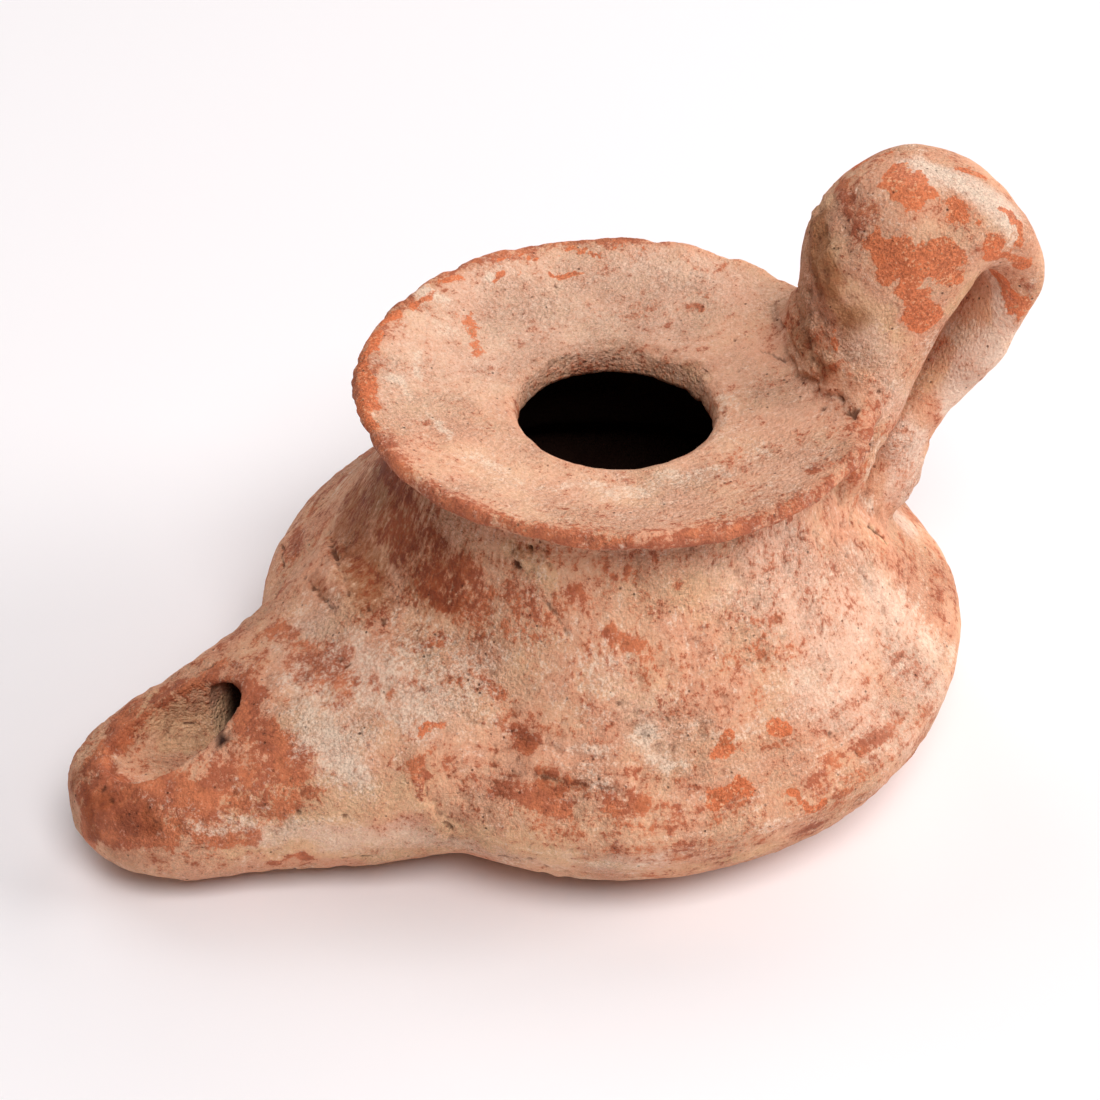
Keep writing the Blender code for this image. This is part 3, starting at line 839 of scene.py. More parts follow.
SLIP_MARKS: tuple[Mark, ...] = mark_table(
    (-40.0, -3.0, 21.8, -38.0, -8.5, 22.2, 2.9, 0.75),
    (-36.9, -3.8, 23.0, -36.8, -9.0, 22.7, 1.8, 0.95),
    (-40.2, 4.3, 21.2, -38.5, -0.7, 22.3, 1.7, 0.7),
    (-46.0, 0.0, 18.8, -47.1, -8.0, 19.1, 2.0, 0.95),
    (-59.2, 3.3, 14.2, -52.7, 4.6, 16.3, 1.8, 0.8),
    (-58.3, -8.7, 13.0, -48.9, -13.4, 14.2, 2.7, 0.7),
    (-65.3, -1.0, 11.9, -65.3, -2.6, 6.5, 1.7, 0.85),
    (-49.8, -7.1, 18.1, -42.6, -15.1, 17.3, 1.8, 0.5),
    (-47.1, -8.0, 19.1, -45.7, -10.7, 18.6, 2.0, 0.85),
    (-51.9, 5.8, 16.8, -47.4, 3.6, 19.2, 1.5, 0.85),
    (-62.2, 1.7, 14.1, -59.2, -5.5, 14.4, 2.5, 0.9),
    (-60.2, 3.0, 14.4, -57.1, 6.2, 15.0, 2.5, 0.75),
    (-63.5, -3.3, 13.0, -55.2, -9.5, 14.5, 3.1, 0.95),
    (-64.0, -5.4, 10.6, -59.0, -9.8, 10.9, 2.5, 0.95),
    (-56.6, -11.0, 11.2, -51.7, -13.1, 10.8, 1.6, 0.95),
    (-52.6, -7.9, 16.4, -45.6, -14.1, 15.6, 2.7, 0.75),
    (-49.3, -13.6, 7.0, -46.4, -14.9, 6.7, 0.6, 0.8),
    (-13.3, 34.5, 16.8, -23.6, 5.7, 35.6, 1.6, 0.9),
    (-23.6, 5.7, 35.6, -25.2, -11.8, 43.9, 1.3, 0.85),
    (-25.2, -11.8, 43.5, -18.1, -20.3, 44.6, 0.8, 0.75),
    (-18.2, -20.4, 44.5, -5.7, -27.3, 43.9, 0.7, 0.8),
    (-5.7, -27.3, 44.1, 9.1, -21.7, 37.4, 0.7, 0.75),
    (15.0, 20.9, 44.3, 23.3, 13.7, 44.5, 0.4, 0.6),
    (-29.1, 6.0, 26.2, -31.0, -4.1, 25.9, 2.2, 0.5),
    (-25.2, 2.5, 32.8, -23.8, -11.2, 31.1, 4.3, 0.65),
    (-23.6, 29.6, 16.3, -20.0, 28.0, 19.4, 1.6, 0.55),
    (-31.1, 19.6, 17.2, -25.4, 26.3, 17.4, 1.6, 0.6),
    (-29.2, -10.2, 26.2, -26.8, -12.3, 26.7, 1.0, 0.9),
    (-35.4, -10.5, 23.3, -34.1, -13.1, 23.4, 1.0, 0.9),
    (-24.3, -17.2, 25.2, -23.1, -19.3, 24.5, 1.2, 0.75),
    (-25.4, -21.1, 21.8, -24.0, -23.4, 20.3, 1.7, 0.95),
    (-33.6, -20.4, 18.7, -33.3, -21.8, 15.4, 1.0, 0.8),
    (-20.2, -14.6, 33.6, -18.9, -18.8, 30.0, 2.5, 0.6),
    (-16.3, -17.6, 36.2, -15.5, -19.3, 34.4, 1.1, 0.8),
    (-13.5, -22.5, 31.0, -11.8, -24.1, 29.4, 1.5, 0.85),
    (-10.4, -20.7, 38.3, -8.8, -21.9, 37.5, 1.0, 0.75),
    (-12.8, -19.4, 38.3, -12.4, -19.9, 37.7, 0.9, 0.7),
    (-7.9, -22.4, 37.3, -6.7, -23.7, 35.0, 1.1, 0.6),
    (-24.0, -27.4, 17.8, -13.0, -35.7, 16.0, 1.9, 0.75),
    (-27.2, -25.3, 16.7, -23.0, -29.9, 16.4, 1.6, 0.85),
    (-13.0, -35.7, 16.0, -5.1, -38.0, 15.5, 1.5, 0.6),
    (3.4, -38.3, 15.6, 9.3, -38.6, 14.4, 1.0, 0.6),
    (10.0, -37.3, 15.6, 23.4, -32.3, 13.9, 1.5, 0.45),
    (-0.1, -26.3, 30.3, 4.5, -27.1, 28.3, 1.6, 0.5),
    (0.1, -28.2, 27.4, 5.2, -29.4, 24.9, 1.1, 0.5),
    (15.8, -31.7, 18.1, 26.2, -26.1, 16.8, 2.2, 0.35),
    (25.6, -2.9, 63.7, 23.8, -9.6, 63.6, 1.9, 0.75),
    (28.4, -2.4, 65.1, 30.2, -3.8, 66.2, 1.1, 0.6),
    (31.2, -14.9, 65.0, 34.3, -17.4, 62.4, 1.6, 0.5),
    (11.2, -23.5, 44.2, 21.2, -16.9, 36.0, 1.6, 0.6),
    (12.0, -14.5, 42.5, 13.6, -15.9, 42.9, 1.1, 0.5),
    (27.9, -13.7, 33.8, 29.4, -13.1, 26.5, 1.1, 0.35),
    (15.4, 11.8, 42.5, 16.2, 10.1, 42.4, 0.9, 0.95),
    (13.4, 10.3, 42.0, 13.6, 8.4, 41.9, 0.7, 0.9),
)

FRESH_MARKS: tuple[Mark, ...] = mark_table(
    (-22.7, 16.8, 44.3, -27.3, 4.5, 44.3, 1.0, 0.8),
    (-21.2, 17.9, 44.4, -15.0, 22.5, 44.6, 0.8, 0.8),
    (-14.5, 23.1, 44.7, -4.2, 25.8, 44.4, 0.6, 0.8),
    (-0.0, 27.0, 44.6, 15.5, 21.9, 44.5, 0.4, 0.8),
    (-4.3, 24.6, 44.1, 4.6, 22.7, 43.6, 0.4, 0.95),
    (4.6, 22.7, 43.6, 9.9, 21.9, 43.8, 0.4, 0.8),
    (-7.9, 20.5, 43.2, -8.3, 14.9, 42.0, 1.1, 0.5),
    (-33.0, -18.3, 21.4, -30.6, -19.6, 21.5, 1.2, 0.7),
    (-8.3, -36.4, 16.3, -5.1, -37.7, 15.9, 1.0, 1),
    (0.2, -39.0, 15.0, 3.7, -39.6, 14.2, 0.9, 1),
    (0.5, -33.4, 20.4, 2.5, -34.3, 19.4, 1.1, 0.95),
    (-6.2, -33.2, 19.8, -4.1, -34.2, 19.2, 1.0, 0.95),
    (24.1, -12.3, 62.6, 29.6, -16.6, 61.9, 1.6, 1.2),
    (24.5, -14.3, 60.6, 29.3, -16.7, 59.5, 1.6, 1.2),
    (25.8, -15.8, 57.5, 28.9, -16.4, 53.6, 1.5, 1.2),
    (29.4, -7.9, 66.7, 30.2, -11.3, 66.6, 1.6, 1.05),
    (27.5, -9.3, 66.1, 30.7, -12.4, 66.4, 1.0, 1),
    (29.5, -1.5, 64.9, 29.9, -4.2, 66.3, 1.0, 0.85),
    (37.1, -9.2, 65.9, 39.2, -9.7, 64.9, 0.9, 0.9),
    (33.6, -17.4, 60.6, 40.7, -18.3, 58.2, 0.8, 0.8),
    (38.0, -15.9, 64.0, 38.4, -17.9, 62.0, 0.9, 0.8),
    (33.5, -17.0, 63.4, 35.2, -17.5, 60.7, 0.9, 0.75),
    (31.5, -14.3, 65.5, 31.9, -15.9, 64.5, 0.7, 0.7),
    (38.4, -15.4, 55.6, 40.0, -17.7, 52.5, 1.3, 0.7),
    (19.9, -11.0, 50.9, 20.6, -12.3, 50.9, 0.7, 0.8),
)

CRUST_MARKS: tuple[Mark, ...] = mark_table(
    (-41.9, -6.6, 20.8, -41.2, -14.8, 18.5, 3.8, 0.75),
    (-35.6, -6.1, 23.6, -31.9, -17.6, 22.5, 3.8, 0.6),
    (-30.8, -8.4, 26.2, -26.5, -18.6, 23.9, 3.8, 0.6),
    (-36.4, 5.0, 22.6, -33.6, 3.0, 24.4, 2.2, 0.5),
    (-22.6, -15.7, 28.5, -17.3, -23.8, 25.5, 3.1, 0.35),
    (-13.1, -30.0, 20.9, -11.3, -32.2, 19.1, 1.7, 1),
    (-21.4, -27.0, 19.9, -18.1, -29.7, 19.3, 1.6, 0.35),
    (33.3, -6.7, 66.9, 34.5, -12.2, 66.2, 1.5, 0.95),
    (33.8, -12.8, 66.2, 37.3, -17.5, 62.9, 1.6, 0.6),
    (36.6, -14.5, 65.1, 36.8, -17.2, 63.4, 1.3, 0.8),
    (32.4, -3.4, 66.4, 34.3, -3.4, 66.3, 0.9, 0.7),
    (29.8, -15.7, 49.4, 26.8, -15.9, 45.9, 1.1, 0.5),
    (36.2, -10.6, 46.1, 37.3, -15.4, 48.0, 1.3, 0.8),
    (23.6, -16.7, 39.4, 26.1, -12.9, 27.6, 1.3, 0.6),
    (23.6, -16.7, 39.4, 22.4, -16.7, 35.7, 0.9, 0.6),
    (24.2, -22.5, 20.8, 27.9, -26.8, 15.3, 2.9, 0.55),
    (17.7, -21.3, 28.1, 19.0, -24.0, 23.9, 1.8, 0.4),
    (-10.7, 25.1, 44.6, -10.1, 23.3, 44.2, 1.2, 1.5),
    (-17.6, 15.5, 43.4, -16.7, 13.7, 42.7, 1.1, 1.5),
    (-21.1, 12.3, 43.7, -20.7, 10.5, 43.4, 0.9, 1.4),
    (-11.8, 19.0, 43.3, -11.3, 17.5, 42.8, 1.1, 0.9),
    (-19.3, 7.9, 42.8, -20.3, 1.1, 42.9, 0.7, 1),
    (-19.0, -2.0, 42.5, -16.8, -9.2, 42.6, 1.1, 0.7),
    (-14.8, -9.8, 42.2, -5.8, -15.3, 41.9, 0.9, 0.8),
    (-4.1, -13.5, 41.6, 3.6, -16.1, 42.0, 1.0, 0.8),
    (26.3, 23.8, 11.6, 8.8, -15.7, 42.3, 1.0, 0.5),
    (-3.4, 25.4, 44.3, -0.9, 25.3, 44.2, 0.8, 0.8),
    (10.7, -4.3, 41.1, 11.3, -7.5, 41.7, 0.9, 0.6),
    (-4.3, 14.3, 41.8, -4.3, 13.9, 41.8, 0.4, 0.8),
    (-3.8, -15.1, 41.8, 1.1, -16.1, 41.8, 1.3, 0.5),
    (2.9, -31.2, 23.0, 15.4, -27.7, 22.4, 2.2, 0.35),
    (-56.4, -10.7, 12.0, -52.0, -12.5, 12.4, 0.9, 0.8),
    (-46.3, -15.2, 12.4, -42.0, -17.3, 13.0, 1.0, 0.6),
    (-20.7, 18.9, 28.1, -25.0, 5.8, 32.5, 1.3, 0.45),
    (-21.3, 27.0, 19.4, -17.5, 30.1, 18.8, 1.1, 0.3),
    (-26.1, 19.1, 21.6, -30.0, 7.4, 25.6, 1.1, 0.35),
)

# Buff marks: partly sandy clay, partly painted bounce light on the undersides of the nozzle and the low
# belly.
BUFF_AND_BOUNCE_MARKS: tuple[Mark, ...] = mark_table(
    (-54.9, 4.5, 15.4, -48.6, 1.9, 11.9, 2.5, 1.1),
    (-53.3, 1.9, 11.7, -46.6, 3.6, 12.6, 1.8, 1.1),
    (-49.6, -12.6, 14.7, -35.1, -21.3, 15.5, 3.4, 0.75),
    (-52.3, -12.9, 9.5, -33.0, -21.8, 8.3, 2.0, 1.1),
    (-33.4, -22.6, 11.4, -27.2, -28.9, 11.1, 2.2, 0.7),
    (-27.2, -28.9, 11.9, -3.1, -38.4, 8.2, 2.0, 0.9),
    (-19.9, -19.6, 27.5, -12.0, -27.2, 24.6, 2.9, 0.4),
    (-11.5, -21.5, 35.3, -1.5, -25.3, 32.8, 2.7, 0.4),
    (23.1, -1.8, 60.0, 20.6, -9.3, 58.7, 2.5, 0.6),
    (20.6, -9.3, 58.7, 21.2, -12.6, 53.5, 2.2, 0.6),
    (21.4, -11.9, 56.9, 25.7, -15.8, 51.4, 2.0, 0.6),
    (22.7, -14.6, 50.3, 26.0, -15.9, 47.5, 1.8, 0.5),
    (32.8, -16.1, 54.5, 37.3, -16.6, 46.8, 2.7, 0.9),
    (32.8, -11.6, 41.1, 34.5, -13.6, 43.1, 2.0, 0.8),
    (-19.9, -12.5, 37.6, -17.6, -16.2, 37.5, 1.7, 1.1),
    (-0.9, 11.0, 40.0, 11.2, 0.8, 40.4, 1.3, 0.6),
    (24.6, -14.9, 25.6, 26.4, -15.5, 23.4, 0.7, 0.9),
    (-15.4, -33.6, 17.0, -1.7, -39.6, 13.9, 1.3, 0.25),
)

# Smoke marks: partly real soot, partly painted shade on the left-facing sides of the neck, the handle and the
# nozzle tip.
SMOKE_AND_SHADE_MARKS: tuple[Mark, ...] = mark_table(
    (-23.3, 11.9, 31.5, -25.3, -7.1, 31.4, 4.9, 0.78),
    (-24.3, 17.3, 25.0, -29.8, 0.3, 26.4, 3.8, 0.85),
    (-22.7, -9.2, 35.3, -21.6, -13.9, 32.2, 2.7, 0.3),
    (-23.9, -4.6, 34.6, -23.3, -12.6, 30.5, 3.8, 0.34),
    (-29.9, 7.0, 25.8, -32.1, -1.4, 25.7, 1.8, 0.3),
    (-33.5, 8.6, 23.2, -33.7, 2.0, 24.5, 1.1, 0.6),
    (-63.8, 2.0, 13.2, -65.3, -3.2, 9.3, 1.6, 0.8),
    (-63.9, -2.9, 12.8, -60.1, -7.4, 12.7, 1.6, 0.6),
    (-64.3, -5.5, 7.9, -60.1, -9.3, 7.8, 1.6, 0.5),
    (-25.3, -20.9, 22.1, -23.9, -23.6, 20.2, 1.5, 0.5),
    (-23.8, -27.0, 18.1, -19.7, -30.5, 17.5, 1.0, 0.6),
    (-18.9, -31.2, 17.4, -14.6, -34.4, 16.6, 1.1, 0.35),
    (21.4, -4.0, 59.2, 20.5, -8.4, 57.3, 2.2, 0.8),
    (20.5, -8.4, 57.3, 20.7, -11.8, 53.4, 2.2, 0.85),
    (20.3, -3.4, 46.8, 19.3, -12.3, 48.0, 1.6, 0.65),
    (32.1, -17.0, 57.8, 38.7, -15.2, 54.1, 1.0, 0.45),
    (-0.8, 11.2, 40.3, 11.5, 1.3, 41.1, 0.8, 0.5),
    (-20.3, -11.4, 38.6, -19.0, -13.3, 38.9, 0.8, 0.6),
    (-16.5, -17.5, 36.3, -15.5, -19.3, 34.4, 0.9, 0.3),
    (-25.1, 26.4, 17.6, -22.4, 28.2, 18.0, 1.1, 0.3),
    (25.8, -15.1, 61.2, 26.7, -15.6, 61.0, 0.4, 0.4),
)

# Pale marks: partly pale clay, partly painted light on the lit right side of the belly and the outer side of
# the handle.
PALE_AND_LIT_MARKS: tuple[Mark, ...] = mark_table(
    (6.6, -24.2, 33.0, 13.9, -27.9, 23.1, 6.9, 0.6),
    (20.7, -23.4, 22.8, 23.3, -30.6, 15.6, 5.2, 0.7),
    (7.9, -31.6, 21.2, 16.1, -35.5, 15.1, 4.7, 0.6),
    (-5.7, -27.3, 43.9, 3.3, -25.6, 31.2, 3.4, 0.5),
    (31.9, -7.9, 67.1, 37.5, -15.1, 64.5, 2.9, 1),
    (38.8, -15.2, 53.4, 39.1, -17.3, 49.3, 2.2, 1.1),
    (37.0, -16.2, 46.6, 35.6, -14.5, 39.3, 2.7, 1.2),
    (28.6, -13.7, 35.7, 33.7, -8.9, 19.2, 2.5, 1.2),
    (21.9, -13.7, 51.4, 26.1, -16.2, 43.6, 2.7, 0.5),
    (-50.2, -13.5, 11.3, -35.0, -21.1, 9.4, 2.2, 0.6),
    (-33.0, -21.8, 8.3, -14.7, -36.9, 10.9, 1.8, 0.5),
    (-38.4, 0.8, 22.2, -41.2, -14.8, 18.5, 3.8, 0.5),
    (-35.6, -6.1, 23.6, -31.9, -17.6, 22.5, 3.8, 0.5),
    (-13.5, -25.4, 26.6, -11.5, -30.8, 20.2, 2.7, 0.4),
)

CRACKS: tuple[Crack, ...] = (
    Crack(0.34, 0.5, ((-28.1, 14.5, 22.8), (-30.3, 8.5, 24.9), (-31.9, 1.8, 25.2))),
    Crack(0.26, 0.32, ((-29.9, 24.2, 15.7), (-31.3, 21.4, 16.0), (-34.1, 14.1, 19.1))),
    Crack(0.45, 0.4, ((-33.3, 10.1, 22.7), (-34.1, 4.1, 23.8), (-33.6, 1.1, 24.4))),
    Crack(0.35, 0.35, ((-31.2, -1.9, 25.7), (-31.0, -5.0, 25.7))),
    Crack(
        0.35,
        0.6,
        (
            (-34.7, -20.1, 18.9),
            (-34.3, -20.3, 17.5),
            (-34.1, -21.2, 15.0),
            (-33.3, -21.9, 13.5),
            (-32.4, -23.0, 11.7),
        ),
    ),
    Crack(0.34, 0.45, ((-18.1, -17.1, 33.6), (-17.5, -18.6, 31.8), (-16.8, -20.2, 30.2))),
    Crack(
        0.34,
        0.45,
        (
            (21.2, -1.0, 46.1),
            (19.7, -4.5, 44.7),
            (19.0, -8.0, 44.3),
            (19.3, -12.6, 45.3),
            (20.2, -14.1, 44.4),
        ),
    ),
    Crack(0.2, 0.75, ((-51.3, 3.9, 13.2), (-50.7, 3.7, 13.2), (-49.9, 3.6, 13.1))),
    Crack(0.35, 0.35, ((-47.9, 5.7, 18.1), (-45.9, 4.7, 19.1))),
    Crack(0.4, 0.6, ((23.9, -15.4, 26.6), (25.7, -14.9, 24.4), (26.5, -15.6, 23.3))),
    Crack(0.3, 0.3, ((-63.1, -0.5, 13.7), (-62.2, -2.2, 13.6), (-59.2, -1.7, 12.3))),
    Crack(0.32, 0.32, ((-23.8, -26.4, 18.4), (-20.7, -29.0, 18.3), (-17.3, -31.3, 17.7))),
    Crack(0.34, 0.26, ((9.3, -30.0, 22.3), (14.5, -29.3, 20.5), (19.4, -29.1, 18.5), (26.2, -25.2, 17.4))),
    Crack(0.25, 0.25, ((17.5, 1.8, 42.2), (18.9, -0.2, 42.3), (19.8, -4.0, 43.1))),
    Crack(0.22, 0.25, ((18.4, 15.4, 43.6), (19.4, 14.1, 43.6))),
    Crack(0.22, 0.22, ((23.6, -15.9, 45.8), (22.7, -16.1, 45.9))),
    Crack(0.3, 0.3, ((-28.2, -26.3, 8.6), (-25.9, -28.9, 9.3))),
    Crack(0.25, 0.25, ((-42.5, -16.7, 6.3), (-36.8, -19.7, 7.3))),
)

DENTS: tuple[Dent, ...] = (
    Dent((-19.5, -12.7, 37.3), 0.5, 0.7),
    Dent((-18.2, -14.1, 38.0), 0.5, 0.8),
    Dent((-19.2, -13.6, 36.2), 0.7, 1),
    Dent((19.8, -17.0, 44.0), 0.55, 0.9),
    Dent((18.3, -13.4, 43.2), 0.45, 0.5),
    Dent((23.4, -15.8, 45.4), 0.35, 0.4),
    Dent((31.6, -16.7, 58.5), 0.5, 0.5),
    Dent((22.5, -9.4, 61.0), 0.6, 0.7),
    Dent((22.1, -10.3, 60.5), 0.6, 0.5),
    Dent((7.0, -35.0, 17.6), 0.5, 0.5),
    Dent((9.4, -37.0, 15.8), 0.4, 0.35),
    Dent((-46.1, -14.9, 13.3), 0.4, 0.5),
    Dent((-42.0, -17.3, 13.0), 0.35, 0.3),
    Dent((15.0, -1.5, 41.7), 0.3, 0.3),
    Dent((4.0, 21.0, 42.9), 0.35, 0.3),
    Dent((17.3, 3.5, 42.0), 0.3, 0.3),
    Dent((22.3, -16.9, 39.0), 0.5, 0.4),
    Dent((29.3, -13.6, 34.3), 0.4, 0.4),
    Dent((-36.2, -5.3, 22.9), 0.4, 0.4),
    Dent((-36.2, -6.4, 23.2), 0.35, 0.35),
    Dent((-63.0, -2.1, 13.4), 0.5, 0.4),
    Dent((-62.9, -3.7, 13.0), 0.45, 0.4),
    Dent((-14.0, -26.5, 24.4), 0.4, 0.3),
    Dent((16.6, -23.2, 44.8), 2, -0.55),
    Dent((27.5, -13.5, 34.8), 1.6, -0.5),
    Dent((20.9, -9.9, 59.4), 3.2, -0.7),
    Dent((-19.4, -14.0, 37.7), 1.3, -0.5),
    Dent((-18.5, -15.3, 37.1), 1.2, -0.4),
    Dent((-17.4, -16.1, 38.2), 1.1, -0.35),
    Dent((-20.2, -12.3, 37.1), 1, -0.3),
    Dent((19.6, -8.8, 48.3), 2, -0.3),
    Dent((-62.6, 0.3, 14.0), 1.8, -0.35),
    Dent((11.4, 23.9, 44.6), 1.4, -0.35),
    Dent((19.5, 18.8, 44.8), 1.4, -0.3),
    Dent((29.1, -13.9, 35.6), 2.4, -0.3),
)

MARKS: dict[Coat, tuple[Mark, ...]] = {
    Coat.SLIP: SLIP_MARKS,
    Coat.FRESH: FRESH_MARKS,
    Coat.CRUST: CRUST_MARKS,
    Coat.BUFF_AND_BOUNCE: BUFF_AND_BOUNCE_MARKS,
    Coat.SMOKE_AND_SHADE: SMOKE_AND_SHADE_MARKS,
    Coat.PALE_AND_LIT: PALE_AND_LIT_MARKS,
}

LEDGES: tuple[Ledge, ...] = (
    Ledge(
        (
            (22.7, 1.2, 44.3),
            (20.5, -3.3, 43.7),
            (19.6, -7.2, 43.6),
            (19.9, -11.8, 44.6),
            (20.2, -14.2, 44.4),
        ),
        (0.97, -0.24, 0.0),
        0.85,
        4.6,
    ),
    Ledge(((-23.7, -26.3, 18.2), (-20.6, -28.9, 18.1), (-17.4, -31.4, 17.8)), (0.0, 0.0, 1.0), 0.40, 2.8),
    Ledge(
        ((-34.4, -20.5, 17.8), (-34.2, -21.5, 15.3), (-33.4, -22.2, 13.8), (-32.5, -23.1, 11.8)),
        (-0.86, 0.50, 0.0),
        0.40,
        3.2,
    ),
    Ledge(((-28.0, 14.7, 22.6), (-30.3, 8.5, 24.8), (-32.0, 1.6, 25.4)), (-1.0, 0.0, 0.0), 0.35, 2.8),
)

CRUMBLES: tuple[Crumble, ...] = (
    Crumble(((22.6, -3.5, 62.5), (21.4, -8.5, 58.5), (21.2, -8.5, 51.5)), 5.0, 0.58, 2.0),
    Crumble(((21.2, -3.0, 48.5), (20.6, -9.0, 48.0)), 4.0, 0.40, 2.0),
    Crumble(((-2.0, 10.6, 41.0), (7.6, 7.6, 41.0), (10.9, 0.6, 41.0)), 1.5, 0.34, 1.5),
    Crumble(((-20.2, -14.2, 37.2), (-17.8, -15.4, 36.9)), 1.9, 0.70, 1.1),
    Crumble(((28.6, -12.6, 34.4), (17.6, -21.6, 43.8)), 1.8, 0.28, 1.6),
    Crumble(((-62.8, 1.5, 13.6), (-62.5, -3.6, 13.4)), 1.6, 0.24, 1.4),
)

SCRAPED_NECK: Zone = {Along.HEIGHT: ((21.0, 27.0), (41.0, 38.0)), Along.RADIUS: ((36.0, 32.0),)}
STREAKED_NECK: Zone = {Along.HEIGHT: ((20.0, 26.0), (42.0, 39.0)), Along.RADIUS: ((37.0, 32.0),)}
BELOW_DISC: Zone = {Along.HEIGHT: ((41.0, 38.0),)}
TURNED_BELLY: Zone = {
    Along.HEIGHT: ((25.0, 20.0),),
    Along.RADIUS: ((28.0, 31.0),),
    Along.NOZZLE: ((30.0, 24.0),),
}
STREAKED_BELLY: Zone = {
    Along.HEIGHT: ((27.0, 20.0),),
    Along.RADIUS: ((27.0, 31.0),),
    Along.NOZZLE: ((34.0, 27.0),),
}
SLIP_HIDDEN: dict[Coat, float] = {Coat.CRUST: 0.3, Coat.BUFF_AND_BOUNCE: 0.2, Coat.PALE_AND_LIT: 0.12}


@dataclass
class ClaySurface:
    """Relief that hands, tools and burial left; sizes in millimetres.

    A pair says at which value a share is 0 and at which it is 1.
    """

    body: ThrownBody
    wander: Lumps = Lumps(0.28, 13.0, Field.HAND, 2)
    unevenness: Lumps = Lumps(0.11, 2.8, Field.UNEVEN, 3)
    scrape: Lumps = Lumps(0.13, 1.7, Field.SCRAPE, 3)
    scrape_round: float = 26.0
    scrape_run: float = 0.14
    turning: Lumps = Lumps(0.08, 1.9, Field.TURNING, 3)
    turning_run: float = 3.0
    weather: Lumps = Lumps(1.0, 15.0, Field.WEATHER, 2)
    weather_band: Point2 = (-0.20, 0.25)
    rugged: Lumps = Lumps(0.17, 1.7, Field.RUGGED, 2)
    pocks: Lumps = Lumps(1.0, 2.1, Field.POCKS, 2)
    pock_band: Point2 = (0.14, 0.42)
    pock_depth: float = 0.18
    flake_steps: float = 2.4
    flake_reach: Point2 = (1.25, 0.6)
    flake_edge: Point2 = (0.30, 0.70)
    flake_lumps: float = 0.3
    ledge_jitter: Lumps = Lumps(0.45, 2.6, Field.LEDGE, 3)
    ledge_edge: Point2 = (-0.12, 0.30)
    ledge_full: float = 0.25
    ledge_core: float = 0.7
    warp: Lumps = Lumps(0.30, 1.3, Field.FLAW_WARP, 2)
    openness: Lumps = Lumps(1.0, 3.4, Field.OPENNESS, 2)
    open_usual: float = 0.85
    open_range: Point2 = (0.35, 1.3)
    crack_spread: float = 0.95
    flaw_range: float = 0.5
    lip_round: float = 29.0
    lip_out: Lumps = Lumps(0.30, 9.0, Field.LIP_OUT, 2)
    lip_up: Lumps = Lumps(0.24, 6.0, Field.LIP_UP, 2)
    lip_width: float = 2.2
    lip_depth: float = 1.8
    lip_middle: float = -0.8
    lip_band: Point2 = (-4.4, -3.0)
    nicks: Lumps = Lumps(1.0, 3.0, Field.LIP_NICK, 2)
    nick_depth: float = 0.55
    nick_limit: float = 0.15
    nick_front: float = 0.30
    nick_band: Point2 = (-6.0, 10.0)
    nick_down: float = 0.5
    pull: float = 0.95
    pull_lift: float = 0.35
    pull_reach: float = 3.4
    pull_bearing: float = math.radians(-135.0)
    pull_width: float = math.radians(62.0)
    crisp_margin: float = 0.8
    dent_margin: float = 0.7
    small_dent: float = 1.2
    flat_base: Point2 = (0.0, 1.2)

    def refine(self, item: bpy.types.Object) -> None:
        """Split the faces along cracks and pits, so that these come out crisp.

        Args:
            item: The hollowed clay.
        """
        grid = bmesh.new()
        grid.from_mesh(item.data)
        p = np.array([v.co for v in grid.verts]) / MM
        near = np.zeros(len(p), dtype=bool)
        for crack in CRACKS:
            near |= off_path(p, crack.path) < crack.width + self.crisp_margin
        for ledge in LEDGES:
            near |= off_path(p, ledge.path) < self.crisp_margin
        for dent in DENTS:
            if dent.radius < self.small_dent:
                away = np.linalg.norm(p - np.array(dent.centre), axis=1)
                near |= away < dent.radius + self.dent_margin
        grid.verts.ensure_lookup_table()
        picked = [e for e in grid.edges if near[e.verts[0].index] and near[e.verts[1].index]]
        bmesh.ops.subdivide_edges(grid, edges=picked, cuts=1, use_grid_fill=True)
        bmesh.ops.triangulate(grid, faces=[f for f in grid.faces if len(f.verts) > 4])
        grid.to_mesh(item.data)
        grid.free()

    def hand_work(self, p: np.ndarray) -> np.ndarray:
        """Unevenness, scraping on the neck, turning lines on the belly, and weathered spots.

        Args:
            p: Vertex places in millimetres.

        Returns:
            Height of the surface over its plain place, in millimetres.
        """
        radius = np.hypot(p[:, 0], p[:, 1])
        angle = np.arctan2(p[:, 1], p[:, 0])
        turn = np.stack([np.cos(angle), np.sin(angle)], axis=1)
        upright = np.column_stack([turn * self.scrape_round, p[:, 2] * self.scrape_run])
        level = np.column_stack([radius, p[:, 2], angle * self.turning_run])
        height = self.wander.at(p) + self.unevenness.at(p)
        height += zone(p, SCRAPED_NECK) * self.scrape.at(upright)
        height += zone(p, TURNED_BELLY) * self.turning.at(level)
        weathered = ramp(self.weather.at(p), *self.weather_band) * zone(p, BELOW_DISC)
        height += weathered * self.rugged.at(p)
        height -= weathered * self.pock_depth * ramp(self.pocks.at(p), *self.pock_band)
        return height

    def broken(self, p: np.ndarray) -> np.ndarray:
        """Stepped, flaky relief of the crumbled runs, in millimetres."""
        height = np.zeros(len(p))
        for crumble in CRUMBLES:
            share = ramp(off_path(p, crumble.path) / crumble.width, *self.flake_reach)
            lumps = self.flake_steps * cloud(p, crumble.grain, Field.CRUMBLE, 3)
            base = np.floor(lumps)
            steps = base + ramp(lumps - base, *self.flake_edge)
            flakes = (1.0 - self.flake_lumps) * steps + self.flake_lumps * lumps
            height += crumble.relief * share * flakes / self.flake_steps
        return height

